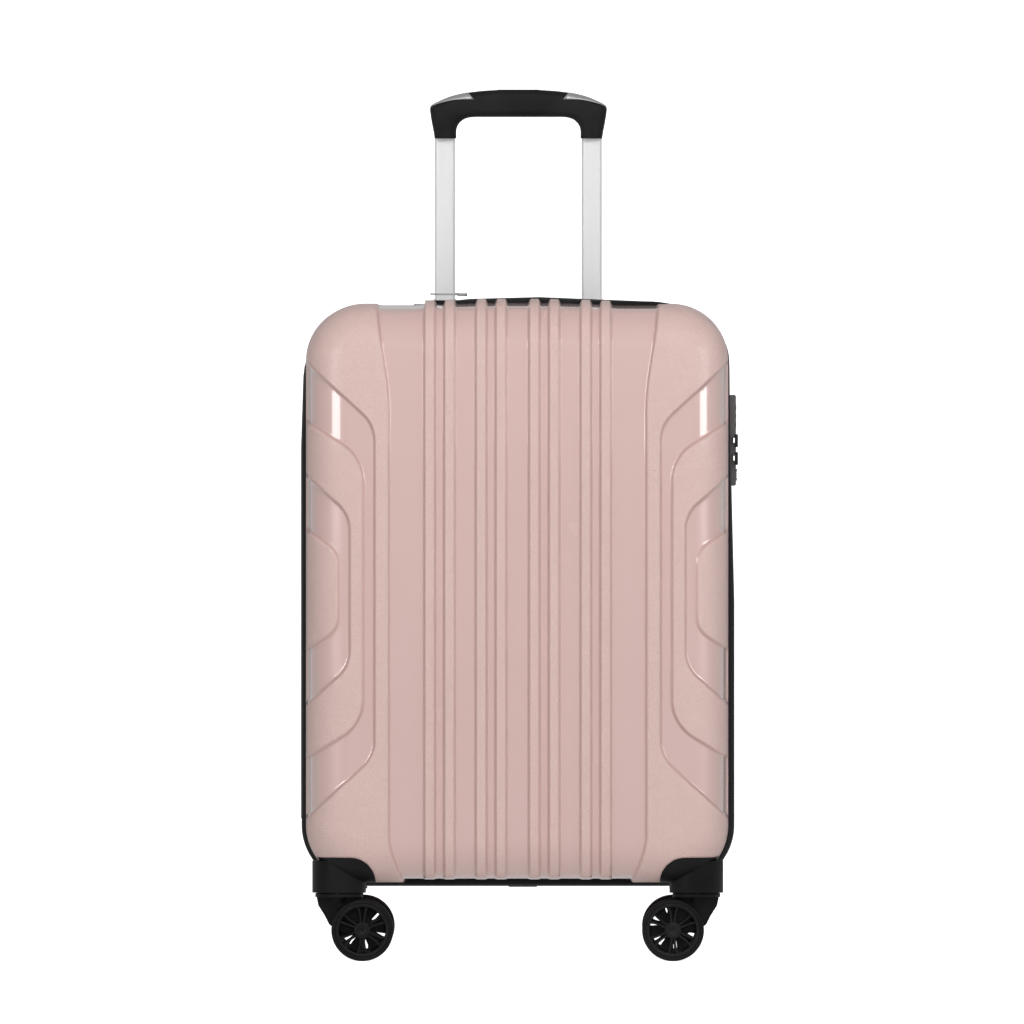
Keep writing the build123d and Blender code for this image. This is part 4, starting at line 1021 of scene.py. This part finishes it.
def cloth_copy(node, body, material, amplitude, length, longest, seed, reshape=None):
    source = nodes[node]
    mesh = source.data.copy()
    work = bmesh.new()
    work.from_mesh(mesh)
    work.transform(source.matrix_world)
    bmesh.ops.remove_doubles(work, verts=work.verts, dist=0.005 * MM)
    for _ in range(7):
        long_edges = [e for e in work.edges if e.calc_length() > longest]
        if not long_edges:
            break
        bmesh.ops.subdivide_edges(work, edges=long_edges, cuts=1, use_grid_fill=False)
        bmesh.ops.triangulate(work, faces=[f for f in work.faces if len(f.verts) > 3])
    work.to_mesh(mesh)
    work.free()
    points = np.array([v.co for v in mesh.vertices])
    points = points + wave_field(points, amplitude, length, seed)
    if reshape:
        points = reshape(points)
    mesh.vertices.foreach_set("co", points.ravel())
    mesh.update()
    mesh.materials.clear()
    mesh.materials.append(material)
    mesh.shade_smooth()
    piece = bpy.data.objects.new(node + "_cloth", mesh)
    bpy.context.scene.collection.objects.link(piece)
    if body:
        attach(piece, body)
    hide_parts(node)
    half_area = sum(p.area for p in mesh.polygons) / 2
    print(node, len(mesh.polygons), "faces, half area", round(half_area, 4))
    return piece, half_area


def hug_band(points):
    """Lay the hinge strip on the band, thinner than its CAD solid."""
    flat = np.stack([np.full(len(points), -HALF_WIDTH), points[:, 2]], -1)
    left = np.stack([-np.ones(len(points)), np.zeros(len(points))], -1)
    outside = hinge_high.x - points[:, 0]
    moved = points.copy()
    moved[:, 0] = -HALF_WIDTH - proud(flat, left) - outside * 0.45 - 0.1 * MM
    return moved


hinge_low, hinge_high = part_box("hinge_strip")
strip, _ = cloth_copy("hinge_strip", None, tape_black, 0.05 * MM, 0.04, 0.006, 1, hug_band)
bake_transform(strip)

gusset, gusset_area = cloth_copy("expander_gusset", None, tape_black, 0.25 * MM, 0.05, 0.012, 2)
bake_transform(gusset)

SIDE_RATIO = 0.78
SPARE = 1.06
for node, body, seed in (("rear_lining", "rear_case", 3), ("front_lining", "front_case", 4)):
    lining, area = cloth_copy(node, body, lining_cloth, 0.35 * MM, 0.09, 0.014, seed)
    size = (math.sqrt(area * SIDE_RATIO) * SPARE, math.sqrt(area / SIDE_RATIO) * SPARE)

pocket, _ = cloth_copy("mesh_pocket", "front_case", lining_cloth, 0.3 * MM, 0.08, 0.012, 5)
cloth_copy("pack_straps", "rear_case", webbing_black, 0.3 * MM, 0.07, 0.012, 6)


# %% [markdown]
# A white sweep of paper stands behind and under the case: flat floor, a wide bend, and a wall. A
# second sheet stands far off all round, and both are clear from their backs, so that the case can
# be looked at from any side. The paper shines by itself, and the camera alone sees it, so that its
# light doesn't spill over the black parts. One large softbox to the right gives the case its shading, a small one
# above lifts its top, and the room is brighter from below. The strips show only as reflections: two
# at the sides for the glossy channels, and two softer ones for the black and metal trim.

# %% Stage and lights
def stage_mesh(name, points, faces, material):
    """One piece of the stage, seen by the camera alone."""
    mesh = bpy.data.meshes.new(name)
    mesh.from_pydata(points, [], faces)
    mesh.shade_smooth()
    mesh.materials.append(material)
    piece = bpy.data.objects.new(name, mesh)
    bpy.context.scene.collection.objects.link(piece)
    piece.visible_diffuse = False
    piece.visible_glossy = False
    piece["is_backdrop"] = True
    return piece


PAPER_BACK = 1.6
PAPER_BEND = 1.2
PAPER_SIDE = 9.0
PAPER_FAR = 34.0


def paper_sweep():
    f = Finish("white_paper", Specular_IOR_Level=0.1)
    cloud = f.noise(3.0, 2.0)
    f.paint("Base Color", f.mix(cloud, srgb(250, 250, 250), srgb(246, 246, 246)))
    f.paint("Roughness", 0.9 + cloud * 0.05)
    f.paint("Emission Color", f.mix(cloud, srgb(255, 255, 255), srgb(253, 253, 253)))
    f.shader.inputs["Emission Strength"].default_value = 0.9
    mixed = f.tree.nodes.new("ShaderNodeMixShader")
    backfacing = f.node("NewGeometry", output=6)
    plug(f.tree, mixed.inputs[0], backfacing)
    plug(f.tree, mixed.inputs[1], Val(f.tree, f.shader.outputs[0]))
    plug(f.tree, mixed.inputs[2], f.node("BsdfTransparent"))
    plug(f.tree, f.tree.nodes["Material Output"].inputs[0], Val(f.tree, mixed.outputs[0]))
    profile = [(-14.0, 0.0), (PAPER_BACK, 0.0)]
    for a in np.linspace(0.1, math.pi / 2, 12):
        along, up = PAPER_BEND * math.sin(a), PAPER_BEND * math.cos(a)
        profile.append((PAPER_BACK + along, PAPER_BEND - up))
    profile += [(2.8, 7.0)]
    points = [(x, y, z) for y, z in profile for x in (-PAPER_SIDE, PAPER_SIDE)]
    stage_mesh("paper_sweep", points, grid_faces(len(profile), 2), f.material)
    turns = [-k * math.pi / 24 for k in range(48)]
    around = [(PAPER_FAR * math.cos(a), PAPER_FAR * math.sin(a)) for a in turns]
    points = [(x, y, z) for z in (-30.0, 40.0) for x, y in around]
    ring = stage_mesh("paper_round", points, grid_faces(2, 48, closed_columns=True), f.material)
    ring.visible_shadow = False


def softbox(name, at, size, power, diffuse=True, look_at=(0, 0, 0.35)):
    light = bpy.data.lights.new(name, "AREA")
    light.shape = "RECTANGLE"
    light.size, light.size_y = size
    light.energy = power
    holder = bpy.data.objects.new(name, light)
    bpy.context.scene.collection.objects.link(holder)
    holder.location = at
    holder.rotation_euler = (Vector(look_at) - Vector(at)).to_track_quat("-Z", "Y").to_euler()
    holder.visible_diffuse = diffuse
    return holder


paper_sweep()
world = bpy.data.worlds.new("studio")
bpy.context.scene.world = world
world.use_nodes = True
backdrop = world.node_tree.nodes["Background"]
backdrop.inputs["Color"].default_value = (1, 1, 1, 1)
direction = world.node_tree.nodes.new("ShaderNodeTexCoord")
parts = world.node_tree.nodes.new("ShaderNodeSeparateXYZ")
fade = world.node_tree.nodes.new("ShaderNodeMapRange")
world.node_tree.links.new(direction.outputs["Generated"], parts.inputs[0])
world.node_tree.links.new(parts.outputs["Z"], fade.inputs["Value"])
for key, value in (("From Min", -0.6), ("From Max", 0.6), ("To Min", 0.67), ("To Max", 0.41)):
    fade.inputs[key].default_value = value
world.node_tree.links.new(fade.outputs[0], backdrop.inputs["Strength"])
key = softbox("key_softbox", (0.9, -5.0, 1.6), (2.2, 2.2), 97)
key.visible_glossy = False
top_fill = softbox("top_fill", (0.0, -0.9, 1.35), (0.9, 0.5), 4.0, look_at=(0, 0, 0.5))
top_fill.visible_glossy = False
shells_only = bpy.data.collections.new("shells_only")
for piece_name in ("front_pressed_shell", "rear_pressed_shell"):
    shells_only.objects.link(bpy.data.objects[piece_name])
for strip_name, x, y in (("left_strip", -2.05, -2.2), ("right_strip", 2.6, -1.55)):
    strip_light = softbox(strip_name, (x, y, 1.0), (1.15, 1.2), 40, diffuse=False, look_at=(0, 0, 1.0))
    strip_light.light_linking.receiver_collection = shells_only
trim_only = bpy.data.collections.new("trim_only")
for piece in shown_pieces():
    if piece.name not in shells_only.objects:
        trim_only.objects.link(piece)
for strip_name, at, size, power in (
    ("trim_top", (0.3, -2.4, 2.0), (2.4, 0.7), 24), ("trim_side", (-1.6, -2.2, 0.5), (0.3, 1.6), 9),
):
    strip_light = softbox(strip_name, at, size, power, diffuse=False)
    strip_light.light_linking.receiver_collection = trim_only
